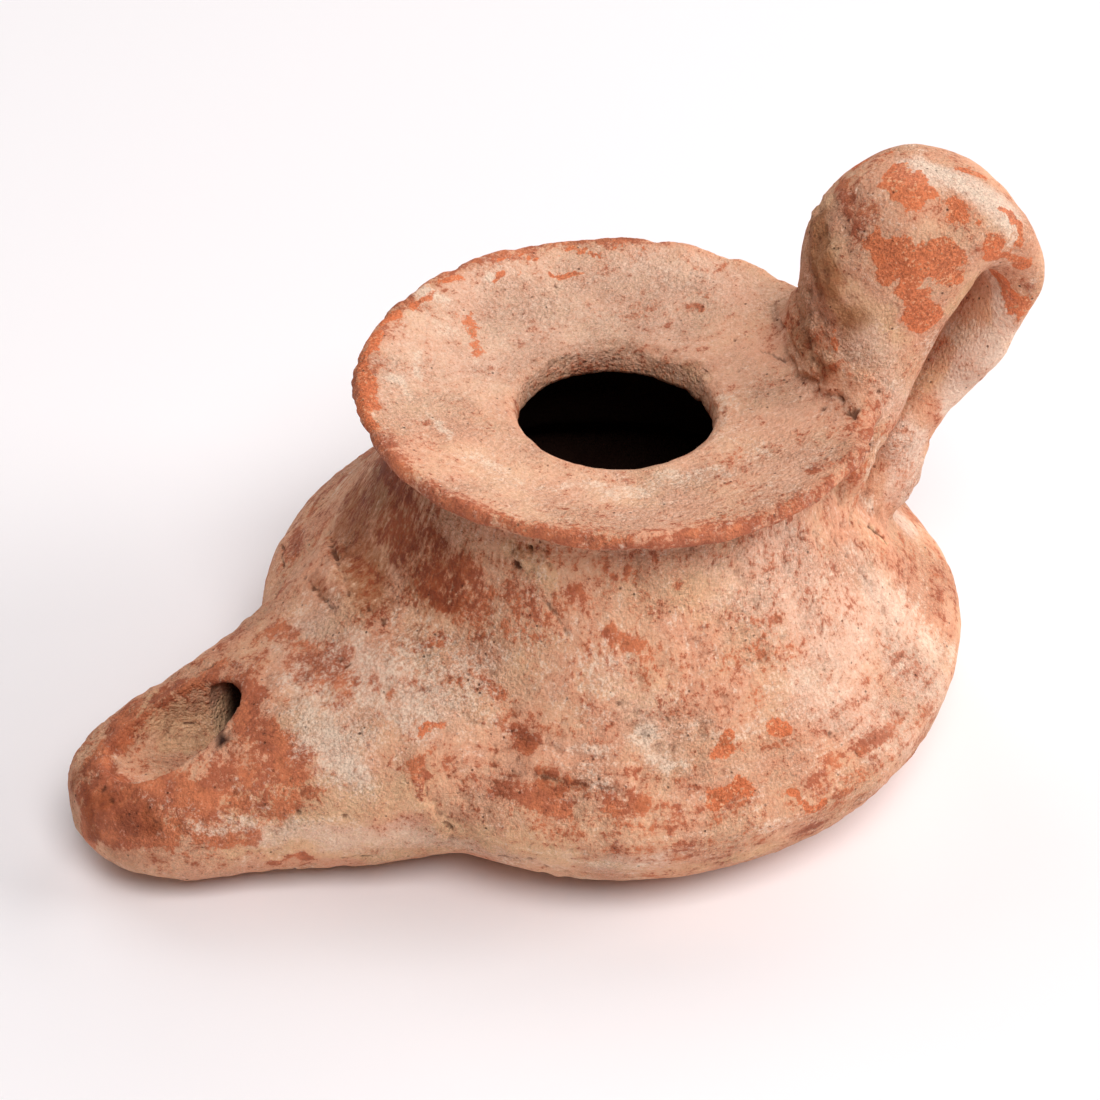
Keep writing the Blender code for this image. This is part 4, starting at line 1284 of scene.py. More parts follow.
    def ledges(self, p: np.ndarray) -> np.ndarray:
        """Height that the overlapping clay adds beside each ledge, in millimetres."""
        height = np.zeros(len(p))
        jitter = self.ledge_jitter.at(p)
        for ledge in LEDGES:
            ahead = p @ np.array(ledge.side)
            line = np.full(len(p), np.inf)
            over = np.zeros(len(p))
            for a, b in zip(ledge.path, ledge.path[1:]):
                start = np.array(a)
                run = np.array(b) - start
                t = np.clip((p - start) @ run / float(run @ run), 0.0, 1.0)
                foot = start + t[:, None] * run
                away = np.linalg.norm(p - foot, axis=1)
                closer = away < line
                line = np.where(closer, away, line)
                over = np.where(closer, ahead - foot @ np.array(ledge.side), over)
            over = over + jitter
            rise = ramp(over, *self.ledge_edge) * ramp(over, ledge.reach, self.ledge_full * ledge.reach)
            height += ledge.height * rise * ramp(line, ledge.reach, self.ledge_core * ledge.reach)
        return height

    def flaws(self, p: np.ndarray) -> np.ndarray:
        """Pits, lumps and cracks; the result is their height in millimetres."""
        height = np.zeros(len(p))
        bent = self.warp.moved(p)
        for dent in DENTS:
            away = np.linalg.norm(bent - np.array(dent.centre), axis=1)
            height -= dent.depth * np.exp(-((away / dent.radius) ** 2))
        open_share = np.clip(self.open_usual + self.openness.at(p), *self.open_range)
        for crack in CRACKS:
            away = off_path(bent, crack.path) / (crack.width * self.crack_spread)
            height -= crack.depth * open_share * np.exp(-(away**2))
        return height

    def lip(self, p: np.ndarray) -> np.ndarray:
        """Sideways and upward waver of the lip, with nicks at the back.

        Args:
            p: Vertex places in millimetres.

        Returns:
            N by 3 offsets in millimetres.
        """
        radius = np.hypot(p[:, 0], p[:, 1])
        angle = np.arctan2(p[:, 1], p[:, 0])
        turn = np.column_stack([np.cos(angle), np.sin(angle), np.zeros(len(p))])
        aside = radius - self.body.rim_radius / MM
        above = p[:, 2] - self.body.height / MM
        tall = ramp(above, *self.lip_band)
        edge = np.exp(-((aside / self.lip_width) ** 2))
        edge *= np.exp(-(((above - self.lip_middle) / self.lip_depth) ** 2))
        rim = turn * self.lip_round
        back = self.nick_front + (1.0 - self.nick_front) * ramp(p[:, 1], *self.nick_band)
        nick = self.nick_depth * back * np.minimum(self.nicks.at(rim), self.nick_limit)
        out = turn * ((self.lip_out.at(rim) + nick) * edge)[:, None]
        swing = np.angle(np.exp(1j * (angle - self.pull_bearing))) / self.pull_width
        pull = self.pull * np.exp(-(swing**2))
        out -= turn * (pull * np.exp(-((aside / self.pull_reach) ** 2)) * tall)[:, None]
        out[:, 2] += edge * (self.pull_lift * pull + self.lip_up.at(rim) + self.nick_down * nick)
        return out

    def apply(self, item: bpy.types.Object) -> None:
        """Move the vertices, and keep the depth of each flaw as an attribute.

        Args:
            item: The hollowed clay.
        """
        self.refine(item)
        mesh = item.data
        p = places_of(mesh) / MM
        normal = np.array([n.vector for n in mesh.vertex_normals])
        flaws = self.flaws(p)
        height = self.hand_work(p) + flaws + self.broken(p) + self.ledges(p)
        height *= ramp(p[:, 2], *self.flat_base)
        moved = p + normal * height[:, None] + self.lip(p)
        moved[:, 2] = np.maximum(moved[:, 2], 0.0)
        mesh.vertices.foreach_set("co", (moved * MM).ravel())
        mesh.update()
        store(mesh, "flaw", np.clip(-flaws / self.flaw_range, 0.0, 1.0))
        mesh.calc_loop_triangles()
        LOG.info("surface: %d vertices, %d triangles", len(p), len(mesh.loop_triangles))


def store(mesh: bpy.types.Mesh, name: str, values: np.ndarray) -> None:
    """Keep one number per vertex as a named mesh attribute."""
    layer = mesh.attributes.new(name, "FLOAT", "POINT")
    layer.data.foreach_set("value", values.astype(np.float32))


@dataclass
class WornCoats:
    """Where slip, fresh slip, dust, sandy clay and smoke lie, and where light and shade
    are painted, as one attribute each.

    Sizes are in millimetres. A pair says where a share is 0 and where it is 1.
    """

    body: ThrownBody
    nozzle: WickNozzle
    edge: float = 0.62
    warp: Lumps = Lumps(1.7, 4.6, Field.COAT_WARP, 3)
    even: float = 0.34
    disc_loss: float = 0.16
    lip_gain: float = 0.42
    base_loss: float = 0.22
    base_band: Point2 = (9.0, 4.0)
    handle_loss: float = 0.10
    handle_band: Point2 = (2.0, 8.0)
    drift: Lumps = Lumps(0.16, 9.0, Field.WASH_BROAD, 2)
    mottle: Lumps = Lumps(0.096, 3.6, Field.WASH_FINE, 2)
    crust: Lumps = Lumps(0.16, 7.0, Field.CRUST, 3)
    buff: Lumps = Lumps(0.25, 11.0, Field.BUFF_AND_BOUNCE, 2)
    tone: Lumps = Lumps(1.0, 6.0, Field.TONE, 3)
    slip_follow: float = 0.4
    slip_middle: float = 0.3
    crust_usual: float = 0.30
    crust_gain: float = 0.55
    crust_smoked_and_shaded: float = 0.15
    tone_swing: float = 0.5
    tone_calm: float = 0.16
    disc_pale: float = 0.30
    disc_lit: float = 0.22
    lit_band: Point2 = (2.0, 14.0)
    disc_turned: float = 0.55
    turned_band: Point2 = (4.0, 12.0)
    calm_reach: float = 3.0
    calm_bands: tuple[Point2, Point2] = ((38.0, 40.0), (46.5, 45.0))
    most_pale: float = 1.2
    crease_depth: float = 0.10
    crease_passes: int = 6
    crease_step: float = 0.7
    below_disc: Point2 = (3.4, 4.1)
    below_skin: Point2 = (1.8, 3.0)
    above_base: Point2 = (2.5, 3.5)
    bore_mouth: Point2 = (0.5, -0.7)
    bore_bed: Point2 = (0.2, 1.2)
    bore_root: Point2 = (34.0, 36.0)
    bore_tip: Point2 = (53.0, 51.5)
    bore_side: Point2 = (6.3, 5.7)
    bore_flare: Point2 = (45.0, 0.45)
    bore_floor: Point2 = (4.0, 5.0)
    bore_roof: Point2 = (0.0, 0.6)
    roof_line: Point2 = (11.2, 0.15)

    def strokes(self, p: np.ndarray, marks: Iterable[Mark]) -> np.ndarray:
        """Lay soft-edged strokes over each other.

        Args:
            p: Vertex places in millimetres.
            marks: The strokes.

        Returns:
            How much of the coat lies at each vertex.
        """
        total = np.zeros(len(p))
        for mark in marks:
            away = off_segment(p, mark.start, mark.end) / mark.radius
            total = np.maximum(total, mark.amount * ramp(away, 1.0 + self.edge, 1.0 - self.edge))
        return total

    def wash(self, p: np.ndarray) -> np.ndarray:
        """Share of the slip that is left away from the strokes, by part of the lamp.

        Args:
            p: Vertex places in millimetres.

        Returns:
            The share at each vertex.
        """
        rim = self.body.rim_radius / MM
        height = self.body.height / MM
        disc = {
            Along.RADIUS: ((rim - 0.8, rim - 2.2),),
            Along.HEIGHT: ((height - 4.0, height - 2.4), (height + 1.6, height + 0.4)),
        }
        lip = {
            Along.RADIUS: ((rim - 4.6, rim - 1.0),),
            Along.HEIGHT: ((height - 3.4, height - 2.6), (height + 1.4, height + 0.5)),
            Along.NOZZLE: ((-24.0, -14.0),),
        }
        share = self.even - self.disc_loss * zone(p, disc) + self.lip_gain * zone(p, lip)
        share -= self.base_loss * ramp(p[:, 2], *self.base_band)
        share -= self.handle_loss * ramp(p[:, 2] - height, *self.handle_band)
        return share + self.drift.at(p) + self.mottle.at(p)

    def inside(self, p: np.ndarray) -> np.ndarray:
        """How deep a place lies in the hollow: 0 outside, 1 deep inside, where the finish
        paints it near black as shade.

        Args:
            p: Vertex places in millimetres.

        Returns:
            The share at each vertex.
        """
        b = self.body
        n = self.nozzle
        radius = np.hypot(p[:, 0], p[:, 1])
        disc = b.height - b.dip
        skin = [(r, z) for r, z in b.profile() if 0.0 < z < disc and r > b.fill_radius]
        outline = sorted((z / MM, r / MM) for r, z in skin)
        heights = np.array([z for z, _ in outline])
        outer = np.interp(p[:, 2], heights, np.array([r for _, r in outline]))
        deep = ramp(disc / MM - p[:, 2], *self.below_disc) * ramp(outer - radius, *self.below_skin)
        deep *= ramp(p[:, 2], *self.above_base)
        out = -p[:, 0]
        across = p[:, 1] + n.scoop_offset / MM
        drop = n.drop() / MM
        bed = n.bed(out * MM) / MM
        wide_within, widening = self.bore_flare
        roof, roof_rise = self.roof_line
        aside = np.abs(across) - widening * np.maximum(wide_within - out, 0.0)
        bore = ramp(out + n.passage_skew * across - drop, *self.bore_mouth)
        bore = np.maximum(bore, ramp(bed - p[:, 2], *self.bore_bed))
        bore *= ramp(out, *self.bore_root) * ramp(out, *self.bore_tip) * ramp(aside, *self.bore_side)
        bore *= ramp(p[:, 2], *self.bore_floor)
        bore *= ramp(roof + roof_rise * out - p[:, 2], *self.bore_roof)
        return np.maximum(deep, bore)

    def hollows(self, mesh: bpy.types.Mesh) -> np.ndarray:
        """Curvature at a scale of about a millimetre: positive on edges, negative in creases."""
        ends = np.empty(2 * len(mesh.edges), dtype=np.int64)
        mesh.edges.foreach_get("vertices", ends)
        a, b = ends.reshape(-1, 2).T
        count = np.bincount(a, minlength=len(mesh.vertices)) + np.bincount(b, minlength=len(mesh.vertices))
        p = places_of(mesh) / MM
        soft = p.copy()
        for _ in range(self.crease_passes):
            mean = np.stack(
                [
                    np.bincount(a, weights=soft[b, i], minlength=len(p))
                    + np.bincount(b, weights=soft[a, i], minlength=len(p))
                    for i in range(3)
                ],
                axis=1,
            )
            soft = (1.0 - self.crease_step) * soft + self.crease_step * mean / count[:, None]
        normal = np.array([n.vector for n in mesh.vertex_normals])
        return np.sum((p - soft) * normal, axis=1)

    def apply(self, item: bpy.types.Object) -> None:
        """Write the attributes that the finish reads.

        Args:
            item: The lamp with its relief.
        """
        mesh = item.data
        p = places_of(mesh) / MM
        warped = self.warp.moved(p)
        laid = {coat: self.strokes(warped, strokes) for coat, strokes in MARKS.items()}
        rim = self.body.rim_radius / MM
        calm = zone(p, {Along.RADIUS: ((rim, rim - self.calm_reach),), Along.HEIGHT: self.calm_bands})
        wash = self.wash(p) - sum(share * laid[coat] for coat, share in SLIP_HIDDEN.items())
        # painted light: the disc is made paler towards +Y
        lit = self.disc_pale + self.disc_lit * ramp(p[:, 1], *self.lit_band)
        slip = laid[Coat.SLIP] + self.slip_follow * (wash - self.slip_middle)
        crust = self.crust_usual + self.crust.at(p) + self.crust_gain * laid[Coat.CRUST]
        turned = self.disc_turned * calm * ramp(-p[:, 1], *self.turned_band)
        layers = {
            "slip": np.clip(np.maximum(wash, slip), 0.0, 1.0),
            "fresh": laid[Coat.FRESH],
            "crust": crust - self.crust_smoked_and_shaded * laid[Coat.SMOKE_AND_SHADE],
            "buff": laid[Coat.BUFF_AND_BOUNCE] + self.buff.at(p),
            "smoke_and_shade": laid[Coat.SMOKE_AND_SHADE],
            "tone": 0.5 + (self.tone_swing - self.tone_calm * calm) * self.tone.at(p),
            "inside": self.inside(p),
            "scraped": zone(p, STREAKED_NECK),
            # pale: pale clay, and painted light on part of the disc and on the lit sides
            "pale": np.clip(lit * calm + laid[Coat.PALE_AND_LIT] * (1.0 - calm), 0.0, self.most_pale),
            "turned": np.maximum(zone(p, STREAKED_BELLY), turned),
            # crease: concave places, which the finish paints darker as shade
            "crease": np.clip(-self.hollows(mesh) / self.crease_depth, 0.0, 1.0),
        }
        for name, values in layers.items():
            store(mesh, name, values)


def linear(display: int) -> float:
    """Linear value of a display value from 0 to 255."""
    share = display / 255.0
    return share / 12.92 if share < 0.0405 else ((share + 0.055) / 1.055) ** 2.4


def paint(red: int, green: int, blue: int) -> Colour:
    """Opaque colour from display values."""
    return (linear(red), linear(green), linear(blue), 1.0)


@dataclass(frozen=True)
class Pattern:
    """A noise: lumps per metre, octaves, strength of each finer one, distortion and shift."""

    scale: float
    detail: float
    rough: float
    twist: float = 0.0
    shift: float = 0.0


@dataclass(frozen=True)
class Recipe:
    """A weighted sum of layers, and the smooth step from start to end that it goes through."""

    weights: dict[str, float]
    base: float = 0.0
    low: float = 0.0
    high: float = 1.0
    start: float = 0.0
    end: float = 1.0


class Bench:
    """Short calls for the nodes of one material, whose values are kept as named layers."""

    def __init__(self, name: str) -> None:
        """Start a material with a Principled shader."""
        self.material = bpy.data.materials.new(name)
        self.material.use_nodes = True
        self.tree = self.material.node_tree
        self.shader = self.tree.nodes["Principled BSDF"]
        self.place = self.tree.nodes.new("ShaderNodeTexCoord").outputs["Object"]
        self.layers: dict[str, bpy.types.NodeSocket] = {}

    def put(self, socket: bpy.types.NodeSocket, value: object) -> None:
        """Link a socket to an output, or set its value."""
        if isinstance(value, bpy.types.NodeSocket):
            self.tree.links.new(value, socket)
        else:
            socket.default_value = value

    def layer(self, name: str) -> bpy.types.NodeSocket:
        """A layer by its name; one that nothing has made is a mesh attribute."""
        if name not in self.layers:
            node = self.tree.nodes.new("ShaderNodeAttribute")
            node.attribute_name = name
            self.layers[name] = node.outputs["Fac"]
        return self.layers[name]

    def mapping(self, scale: Point3, shift: Point3 = (0.0, 0.0, 0.0)) -> bpy.types.NodeSocket:
        """Stretched and shifted Object coordinates."""
        node = self.tree.nodes.new("ShaderNodeMapping")
        node.inputs["Scale"].default_value = scale
        node.inputs["Location"].default_value = shift
        self.put(node.inputs["Vector"], self.place)
        return node.outputs["Vector"]

    def noise(self, pattern: Pattern, place: bpy.types.NodeSocket | None = None) -> bpy.types.NodeSocket:
        """Fractal noise from 0 to 1.

        Args:
            pattern: Its sizes.
            place: Coordinates, or none for the object's own, shifted.

        Returns:
            The value socket.
        """
        node = self.tree.nodes.new("ShaderNodeTexNoise")
        if place is None:
            place = self.mapping((1.0, 1.0, 1.0), (pattern.shift, pattern.shift * 0.7, -pattern.shift))
        self.put(node.inputs["Vector"], place)
        node.inputs["Scale"].default_value = pattern.scale
        node.inputs["Detail"].default_value = pattern.detail
        node.inputs["Roughness"].default_value = pattern.rough
        node.inputs["Distortion"].default_value = pattern.twist
        return node.outputs["Fac"]

    def cells(self, scale: float, shift: float) -> bpy.types.NodeSocket:
        """Distance to the nearest scattered point, in cell widths."""
        node = self.tree.nodes.new("ShaderNodeTexVoronoi")
        self.put(node.inputs["Vector"], self.mapping((1.0, 1.0, 1.0), (shift, -shift, shift * 0.3)))
        node.inputs["Scale"].default_value = scale
        return node.outputs["Distance"]

    def sum(self, recipe: Recipe) -> bpy.types.NodeSocket:
        """Add up the layers of a recipe, before its step."""
        total: bpy.types.NodeSocket | float = recipe.base
        for name, weight in recipe.weights.items():
            node = self.tree.nodes.new("ShaderNodeMath")
            node.operation = "MULTIPLY_ADD"
            self.put(node.inputs[0], self.layer(name))
            node.inputs[1].default_value = weight
            self.put(node.inputs[2], total)
            total = node.outputs[0]
        return total

    def share(self, recipe: Recipe) -> bpy.types.NodeSocket:
        """The sum of a recipe, taken through its smooth step."""
        node = self.tree.nodes.new("ShaderNodeMapRange")
        node.interpolation_type = "SMOOTHSTEP"
        self.put(node.inputs["Value"], self.sum(recipe))
        node.inputs["From Min"].default_value = recipe.low
        node.inputs["From Max"].default_value = recipe.high
        node.inputs["To Min"].default_value = recipe.start
        node.inputs["To Max"].default_value = recipe.end
        return node.outputs["Result"]

    def times(self, a: bpy.types.NodeSocket, b: bpy.types.NodeSocket | float) -> bpy.types.NodeSocket:
        """Product of two values."""
        node = self.tree.nodes.new("ShaderNodeMath")
        node.operation = "MULTIPLY"
        self.put(node.inputs[0], a)
        self.put(node.inputs[1], b)
        return node.outputs[0]

    def mix(self, share: object, under: object, over: object, blend: str = "MIX") -> bpy.types.NodeSocket:
        """Mix two colours.

        Args:
            share: How much of the second colour shows.
            under: First colour, a socket or a colour.
            over: Second colour, a socket or a colour.
            blend: Name of the blend mode.

        Returns:
            The colour socket.
        """
        node = self.tree.nodes.new("ShaderNodeMix")
        node.data_type = "RGBA"
        node.blend_type = blend
        self.put(node.inputs[0], share)
        self.put(node.inputs[6], under)
        self.put(node.inputs[7], over)
        return node.outputs[2]


@dataclass(frozen=True)
class FiredClayFinish:
    """Pinkish fired clay under a worn orange-red slip, with pale dust and smoke,
    and with painted light and shade in its colour.
    """

    tan: Colour = paint(235, 184, 149)
    rose: Colour = paint(229, 170, 139)
    # sand colour, made lighter than the clay so that the undersides it covers carry painted bounce light
    sand: Colour = paint(239, 190, 149)
    # pale clay colour, also laid on as painted light on the lit sides
    pale: Colour = paint(245, 212, 190)
    stain: Colour = paint(219, 143, 106)
    brick: Colour = paint(176, 88, 57)
    rust: Colour = paint(212, 118, 76)
    amber: Colour = paint(204, 104, 62)
    orange: Colour = paint(234, 128, 80)
    cream: Colour = paint(248, 222, 199)
    # soot tint that the smoke marks multiply in: soot darkening and painted shade on the left-facing sides
    # together
    soot_and_shade: Colour = (0.52, 0.36, 0.24, 1.0)
    # dark brown used for dirt in pits and cracks and for painted shade in creases
    dirt_and_shade: Colour = paint(92, 50, 30)
    speck: Colour = paint(144, 84, 58)
    # near-black painted shade for the inside of the hollow and the wick passage
    painted_hollow_shade: Colour = paint(46, 19, 9)

    noises: tuple[tuple[str, Pattern], ...] = (
        ("patch", Pattern(300.0, 4.0, 0.62, 0.3, 0.12)),
        ("other", Pattern(460.0, 5.0, 0.66, 0.2, 0.57)),
        ("flake", Pattern(1150.0, 4.0, 0.74, shift=0.83)),
        ("fine", Pattern(2500.0, 2.0, 0.70, shift=0.37)),
        ("grain", Pattern(5200.0, 1.0, 0.6, shift=0.05)),
        ("rough", Pattern(110.0, 2.0, 0.5, shift=0.91)),
    )
    upright: Pattern = Pattern(1900.0, 3.0, 0.62)
    level: Pattern = Pattern(900.0, 3.0, 0.62)
    upright_scale: Point3 = (1.0, 1.0, 0.07)
    upright_shift: Point3 = (0.2, 0.1, 0.0)
    turn_length: float = 0.0045
    pits: Point2 = (800.0, 0.4)
    crumbs: Point2 = (2300.0, 1.0)

    upright_middle: Recipe = Recipe({"upright": 1.0}, -0.5)
    level_middle: Recipe = Recipe({"level": 1.0}, -0.5)
    streaks: Recipe = Recipe({"upright streak": 1.0, "level streak": 1.0})

    blush: Recipe = Recipe({"tone": 0.6, "other": 0.4}, 0.0, 0.36, 0.64)
    sandy_and_bounce: Recipe = Recipe({"buff": 1.0, "other": 1.2}, -0.6, 0.05, 0.75)
    # pale clay, and painted light on the lit sides and part of the disc
    bleach_and_light: Recipe = Recipe({"pale": 1.0, "patch": 0.8, "fine": 0.9, "streak": 0.5}, -0.85)

    wear: Recipe = Recipe({"patch": 1.3, "flake": 1.7, "fine": 0.9, "slip": 1.0, "streak": 1.1}, -2.45)
    stained: Recipe = Recipe({"wear": 1.0}, 0.0, -0.65, 0.35, 0.0, 0.8)
    cover: Recipe = Recipe({"wear": 1.0}, 0.0, -0.10, 0.20)
    deeper: Recipe = Recipe({"other": 1.0, "tone": 0.4, "flake": 0.5}, -0.45, 0.36, 0.60)
    # the slip shows less where the pale layer lies, which lightens the painted-light places too
    thinned_and_lit: Recipe = Recipe({"pale": 1.0}, 0.0, 0.3, 0.9, 0.82, 0.50)
    bright: Recipe = Recipe({"patch": 1.0, "flake": 1.1, "fine": 0.7, "fresh": 1.3}, -1.95, -0.10, 0.12)
    flame: Recipe = Recipe({"flake": 0.7, "fine": 0.3}, 0.0, 0.42, 0.56)
    flecks: Recipe = Recipe({"fine": 0.6, "other": 0.4}, 0.0, 0.54, 0.62)

    dusty: Recipe = Recipe({"other": 1.1, "fine": 1.6, "flake": -0.9, "crust": 1.0}, -1.42)
    dust: Recipe = Recipe({"dusty": 1.0, "streak": -1.5, "bright": -0.35}, 0.0, -0.12, 0.50)
    fumes_and_shade: Recipe = Recipe({"smoke_and_shade": 1.0, "patch": 0.9, "streak": 1.4}, -0.45, 0.05, 0.95)
    dark: Recipe = Recipe({"fine": 0.55, "flake": 0.45}, 0.0, 0.55, 0.67)
    shade: Recipe = Recipe({"grain": 0.50, "fine": 0.50}, 0.0, 0.34, 0.66, 0.82, 1.16)
    shaded: Recipe = Recipe({"rough": 1.0}, 0.0, 0.36, 0.62, 0.45, 1.0)
    pitted: Recipe = Recipe({"pit cells": 1.0}, 0.0, 0.15, 0.07)
    pit_patches: Recipe = Recipe({"other": 1.0}, 0.0, 0.48, 0.60)
    # dirt in pits and cracks, and painted shade in concave creases
    deep: Recipe = Recipe({"flaw": 0.7, "crease": 0.45, "flake": 0.8}, -0.4, 0.15, 0.95, 0.0, 0.8)

    fresh_share: float = 0.88
    fleck_share: float = 0.6
    dust_share: float = 0.68
    smoke_and_shade_share: float = 0.92
    speck_share: float = 0.6
    pit_share: float = 0.8
    hollow_shade_share: float = 0.97

    dull: Recipe = Recipe({"cover": -0.12, "grain": 0.10, "dust": 0.06}, 0.84)
    specular: float = 0.3
    raised: Recipe = Recipe({"grain": 0.25, "fine": 0.55, "flake": 0.90, "streak": 0.40})
    bumps: Recipe = Recipe({"crumbs": -0.35, "pits": -0.5, "raised": 1.0})
    bumpy: Recipe = Recipe({"rough": 1.0}, 0.0, 0.36, 0.62, 0.55, 1.0)
    relief: float = 0.0007

    def build(self) -> bpy.types.Material:
        """Make the material: clay with painted light in places, then slip, dust, smoke,
        specks, dirt and painted shade over it.
        """
        b = Bench("fired_clay_worn")
        self.lay_out(b)
        colour = self.soiled(b, self.slipped(b, self.clay(b)))
        b.put(b.shader.inputs["Base Color"], colour)
        b.put(b.shader.inputs["Roughness"], b.sum(self.dull))
        b.shader.inputs["Specular IOR Level"].default_value = self.specular
        b.layers["crumbs"] = b.cells(*self.crumbs)
        b.layers["raised"] = b.sum(self.raised)
        bump = b.tree.nodes.new("ShaderNodeBump")
        b.put(bump.inputs["Strength"], b.share(self.bumpy))
        bump.inputs["Distance"].default_value = self.relief
        b.put(bump.inputs["Height"], b.sum(self.bumps))
        b.put(b.shader.inputs["Normal"], bump.outputs["Normal"])
        return b.material

    def lay_out(self, b: Bench) -> None:
        """Make the noise layers, and the streaks that tools and the wheel left.

        Args:
            b: The material's bench.
        """
        for name, pattern in self.noises:
            b.layers[name] = b.noise(pattern)
        b.layers["upright"] = b.noise(self.upright, b.mapping(self.upright_scale, self.upright_shift))
        b.layers["level"] = b.noise(self.level, self.wheel_place(b))
        b.layers["upright streak"] = b.times(b.sum(self.upright_middle), b.layer("scraped"))
        b.layers["level streak"] = b.times(b.sum(self.level_middle), b.layer("turned"))
        b.layers["streak"] = b.sum(self.streaks)

    def clay(self, b: Bench) -> bpy.types.NodeSocket:
        """Colour of the bare clay: tan or rose, sandy in places and pale in others,
        with painted bounce light on the undersides and painted light on the lit sides.
        """
        clay = b.mix(b.share(self.blush), self.tan, self.rose)
        # sandy clay, lighter on the undersides as painted bounce light
        clay = b.mix(b.share(self.sandy_and_bounce), clay, self.sand)
        return b.mix(b.share(self.bleach_and_light), clay, self.pale)

    def slipped(self, b: Bench, colour: bpy.types.NodeSocket) -> bpy.types.NodeSocket:
        """Lay the worn slip and its fresh spots over the clay.

        Args:
            b: The material's bench.
            colour: The clay's colour.

        Returns:
            The colour socket.
        """
        b.layers["wear"] = b.sum(self.wear)
        b.layers["cover"] = b.share(self.cover)
        b.layers["bright"] = b.share(self.bright)
        colour = b.mix(b.share(self.stained), colour, self.stain)
        coat = b.mix(b.share(self.deeper), self.rust, self.brick)
        colour = b.mix(b.times(b.layer("cover"), b.share(self.thinned_and_lit)), colour, coat)
        flame = b.mix(b.share(self.flame), self.amber, self.orange)
        colour = b.mix(b.times(b.layer("bright"), self.fresh_share), colour, flame)
        flecks = b.times(b.layer("bright"), b.share(self.flecks))
        return b.mix(b.times(flecks, self.fleck_share), colour, self.sand)

    def soiled(self, b: Bench, colour: bpy.types.NodeSocket) -> bpy.types.NodeSocket:
        """Lay dust, smoke, specks, pits and dirt in the flaws over it, with painted shade
        on the left-facing sides, in the creases and near black in the hollow.

        Args:
            b: The material's bench.
            colour: The slipped clay's colour.

        Returns:
            The colour socket.
        """
        b.layers["dusty"] = b.sum(self.dusty)
        b.layers["dust"] = b.share(self.dust)
        b.layers["pit cells"] = b.cells(*self.pits)
        b.layers["pits"] = b.times(b.share(self.pitted), b.share(self.pit_patches))
        colour = b.mix(b.times(b.layer("dust"), self.dust_share), colour, self.cream)
        # the smoke marks multiply in the soot tint: partly real soot, partly painted shade on the left-facing
        # sides
        smoke_and_shade = b.times(b.share(self.fumes_and_shade), self.smoke_and_shade_share)
        colour = b.mix(smoke_and_shade, colour, self.soot_and_shade, "MULTIPLY")
        colour = b.mix(b.times(b.share(self.dark), self.speck_share), colour, self.speck)
        colour = b.mix(b.share(self.shaded), colour, b.share(self.shade), "MULTIPLY")
        colour = b.mix(b.times(b.layer("pits"), self.pit_share), colour, self.dirt_and_shade)
        # darker in flaws and creases: dirt in pits and cracks, painted shade in the creases
        colour = b.mix(b.share(self.deep), colour, self.dirt_and_shade)
        # painted shade: the inside of the hollow and the wick passage painted near black
        return b.mix(b.times(b.layer("inside"), self.hollow_shade_share), colour, self.painted_hollow_shade)

    def wheel_place(self, b: Bench) -> bpy.types.NodeSocket:
        """Coordinates that run slowly round the wheel axis and fast across it."""
        split = b.tree.nodes.new("ShaderNodeSeparateXYZ")
        b.put(split.inputs[0], b.place)
        angle = b.tree.nodes.new("ShaderNodeMath")
        angle.operation = "ARCTAN2"
        b.put(angle.inputs[0], split.outputs["Y"])
        b.put(angle.inputs[1], split.outputs["X"])
        flat = b.tree.nodes.new("ShaderNodeCombineXYZ")
        b.put(flat.inputs["X"], split.outputs["X"])
        b.put(flat.inputs["Y"], split.outputs["Y"])
        radius = b.tree.nodes.new("ShaderNodeVectorMath")
        radius.operation = "LENGTH"
        b.put(radius.inputs[0], flat.outputs[0])
        out = b.tree.nodes.new("ShaderNodeCombineXYZ")
        b.put(out.inputs["X"], radius.outputs["Value"])
        b.put(out.inputs["Y"], b.times(angle.outputs[0], self.turn_length))
        b.put(out.inputs["Z"], split.outputs["Z"])
        return out.outputs[0]


@dataclass(frozen=True)
class SoftLight:
    """A square light on a dome of one metre: angles in degrees, side, watts and colour."""

    name: str
    bearing: float
    rise: float
    size: float
    power: float
    tint: Point3


LIGHTS: tuple[SoftLight, ...] = (
    SoftLight("right_back", 18.0, 25.0, 0.8, 4.6, (1.0, 0.985, 0.96)),
    SoftLight("right_front", -30.0, 31.0, 0.5, 4.7, (1.0, 0.985, 0.96)),
    SoftLight("front", -102.0, 59.0, 0.5, 6.7, (1.0, 0.985, 0.97)),
    SoftLight("back", 100.0, 45.0, 0.7, 2.8, (1.0, 0.99, 0.98)),
)


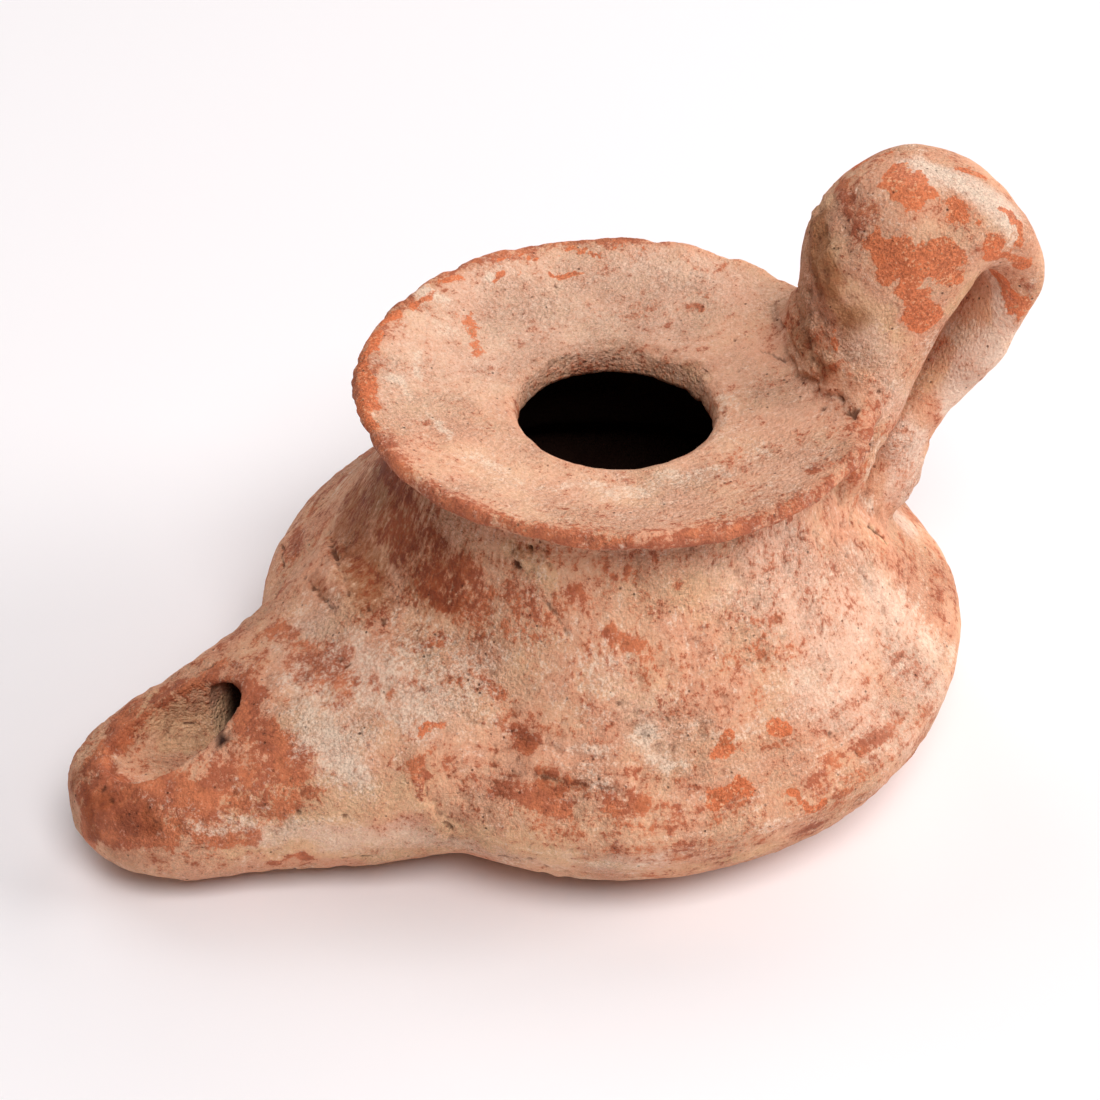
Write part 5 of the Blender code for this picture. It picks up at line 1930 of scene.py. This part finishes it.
@dataclass
class Studio:
    """Pale floor, soft light from the right, and the photograph's camera."""

    eye: Point3 = (-0.14120, -0.23876, 0.24406)
    forward: Point3 = (0.37966, 0.68021, -0.62704)
    right: Point3 = (0.87774, -0.47899, 0.01185)
    lens: float = 102.89
    floor_size: float = 3.0
    floor_colour: Colour = (0.93, 0.897, 0.922, 1.0)
    sky_colour: Colour = (1.0, 0.985, 0.99, 1.0)
    sky_strength: float = 0.05
    aim: Point3 = (0.0, 0.0, 0.02)

    def floor(self) -> bpy.types.Object:
        """Matt sheet that the lamp stands on."""
        grid = bmesh.new()
        bmesh.ops.create_grid(grid, x_segments=4, y_segments=4, size=0.5 * self.floor_size)
        sheet = as_object(grid, "floor")
        paper = bpy.data.materials.new("floor_paper")
        paper.use_nodes = True
        shader = paper.node_tree.nodes["Principled BSDF"]
        shader.inputs["Base Color"].default_value = self.floor_colour
        shader.inputs["Roughness"].default_value = 0.9
        shader.inputs["Specular IOR Level"].default_value = 0.1
        sheet.data.materials.append(paper)
        return sheet

    def light(self, soft: SoftLight) -> bpy.types.Object:
        """Hang one light and aim it at the lamp.

        Args:
            soft: Its sizes.

        Returns:
            The light.
        """
        data = bpy.data.lights.new(soft.name, "AREA")
        data.size = soft.size
        data.energy = soft.power
        data.color = soft.tint
        turn = math.radians(soft.bearing)
        rise = math.radians(soft.rise)
        place = (math.cos(rise) * math.cos(turn), math.cos(rise) * math.sin(turn), math.sin(rise))
        item = bpy.data.objects.new(soft.name, data)
        item.location = place
        item.rotation_mode = "QUATERNION"
        item.rotation_quaternion = (Vector(self.aim) - Vector(place)).to_track_quat("-Z", "Y")
        bpy.context.scene.collection.objects.link(item)
        return item

    def camera(self) -> bpy.types.Object:
        """Camera at the photograph's place and angle."""
        data = bpy.data.cameras.new("camera")
        data.lens = self.lens
        data.sensor_width = 36.0
        data.clip_start = 0.01
        data.clip_end = 20.0
        item = bpy.data.objects.new("camera", data)
        back = -Vector(self.forward).normalized()
        right = Vector(self.right)
        right = (right - back * right.dot(back)).normalized()
        up = back.cross(right)
        turn = Matrix((right, up, back)).transposed()
        item.matrix_world = Matrix.Translation(self.eye) @ turn.to_4x4()
        bpy.context.scene.collection.objects.link(item)
        bpy.context.scene.camera = item
        return item

    def build(self) -> None:
        """Set up floor, world, lights and camera."""
        self.floor()
        world = bpy.data.worlds.new("studio")
        world.use_nodes = True
        sky = world.node_tree.nodes["Background"]
        sky.inputs["Color"].default_value = self.sky_colour
        sky.inputs["Strength"].default_value = self.sky_strength
        bpy.context.scene.world = world
        for soft in LIGHTS:
            self.light(soft)
        bpy.context.scene.view_settings.view_transform = "Standard"
        self.camera()


def main() -> None:
    """Build the lamp and the studio, and report each piece."""
    logging.basicConfig(level=logging.INFO, format="%(name)s: %(message)s")
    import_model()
    body = ThrownBody()
    nozzle = WickNozzle(body)
    handle = LoopHandle(body)
    chamber = OilChamber(body)
    clay = WorkedClay(body, nozzle, handle, chamber)
    lamp = clay.build()
    ClaySurface(body).apply(lamp)
    WornCoats(body, nozzle).apply(lamp)
    lamp.data.materials.append(FiredClayFinish().build())
    lamp.data.shade_smooth()
    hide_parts("lamp_body")
    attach(lamp, "root")
    Studio().build()


if __name__ == "__main__":
    main()
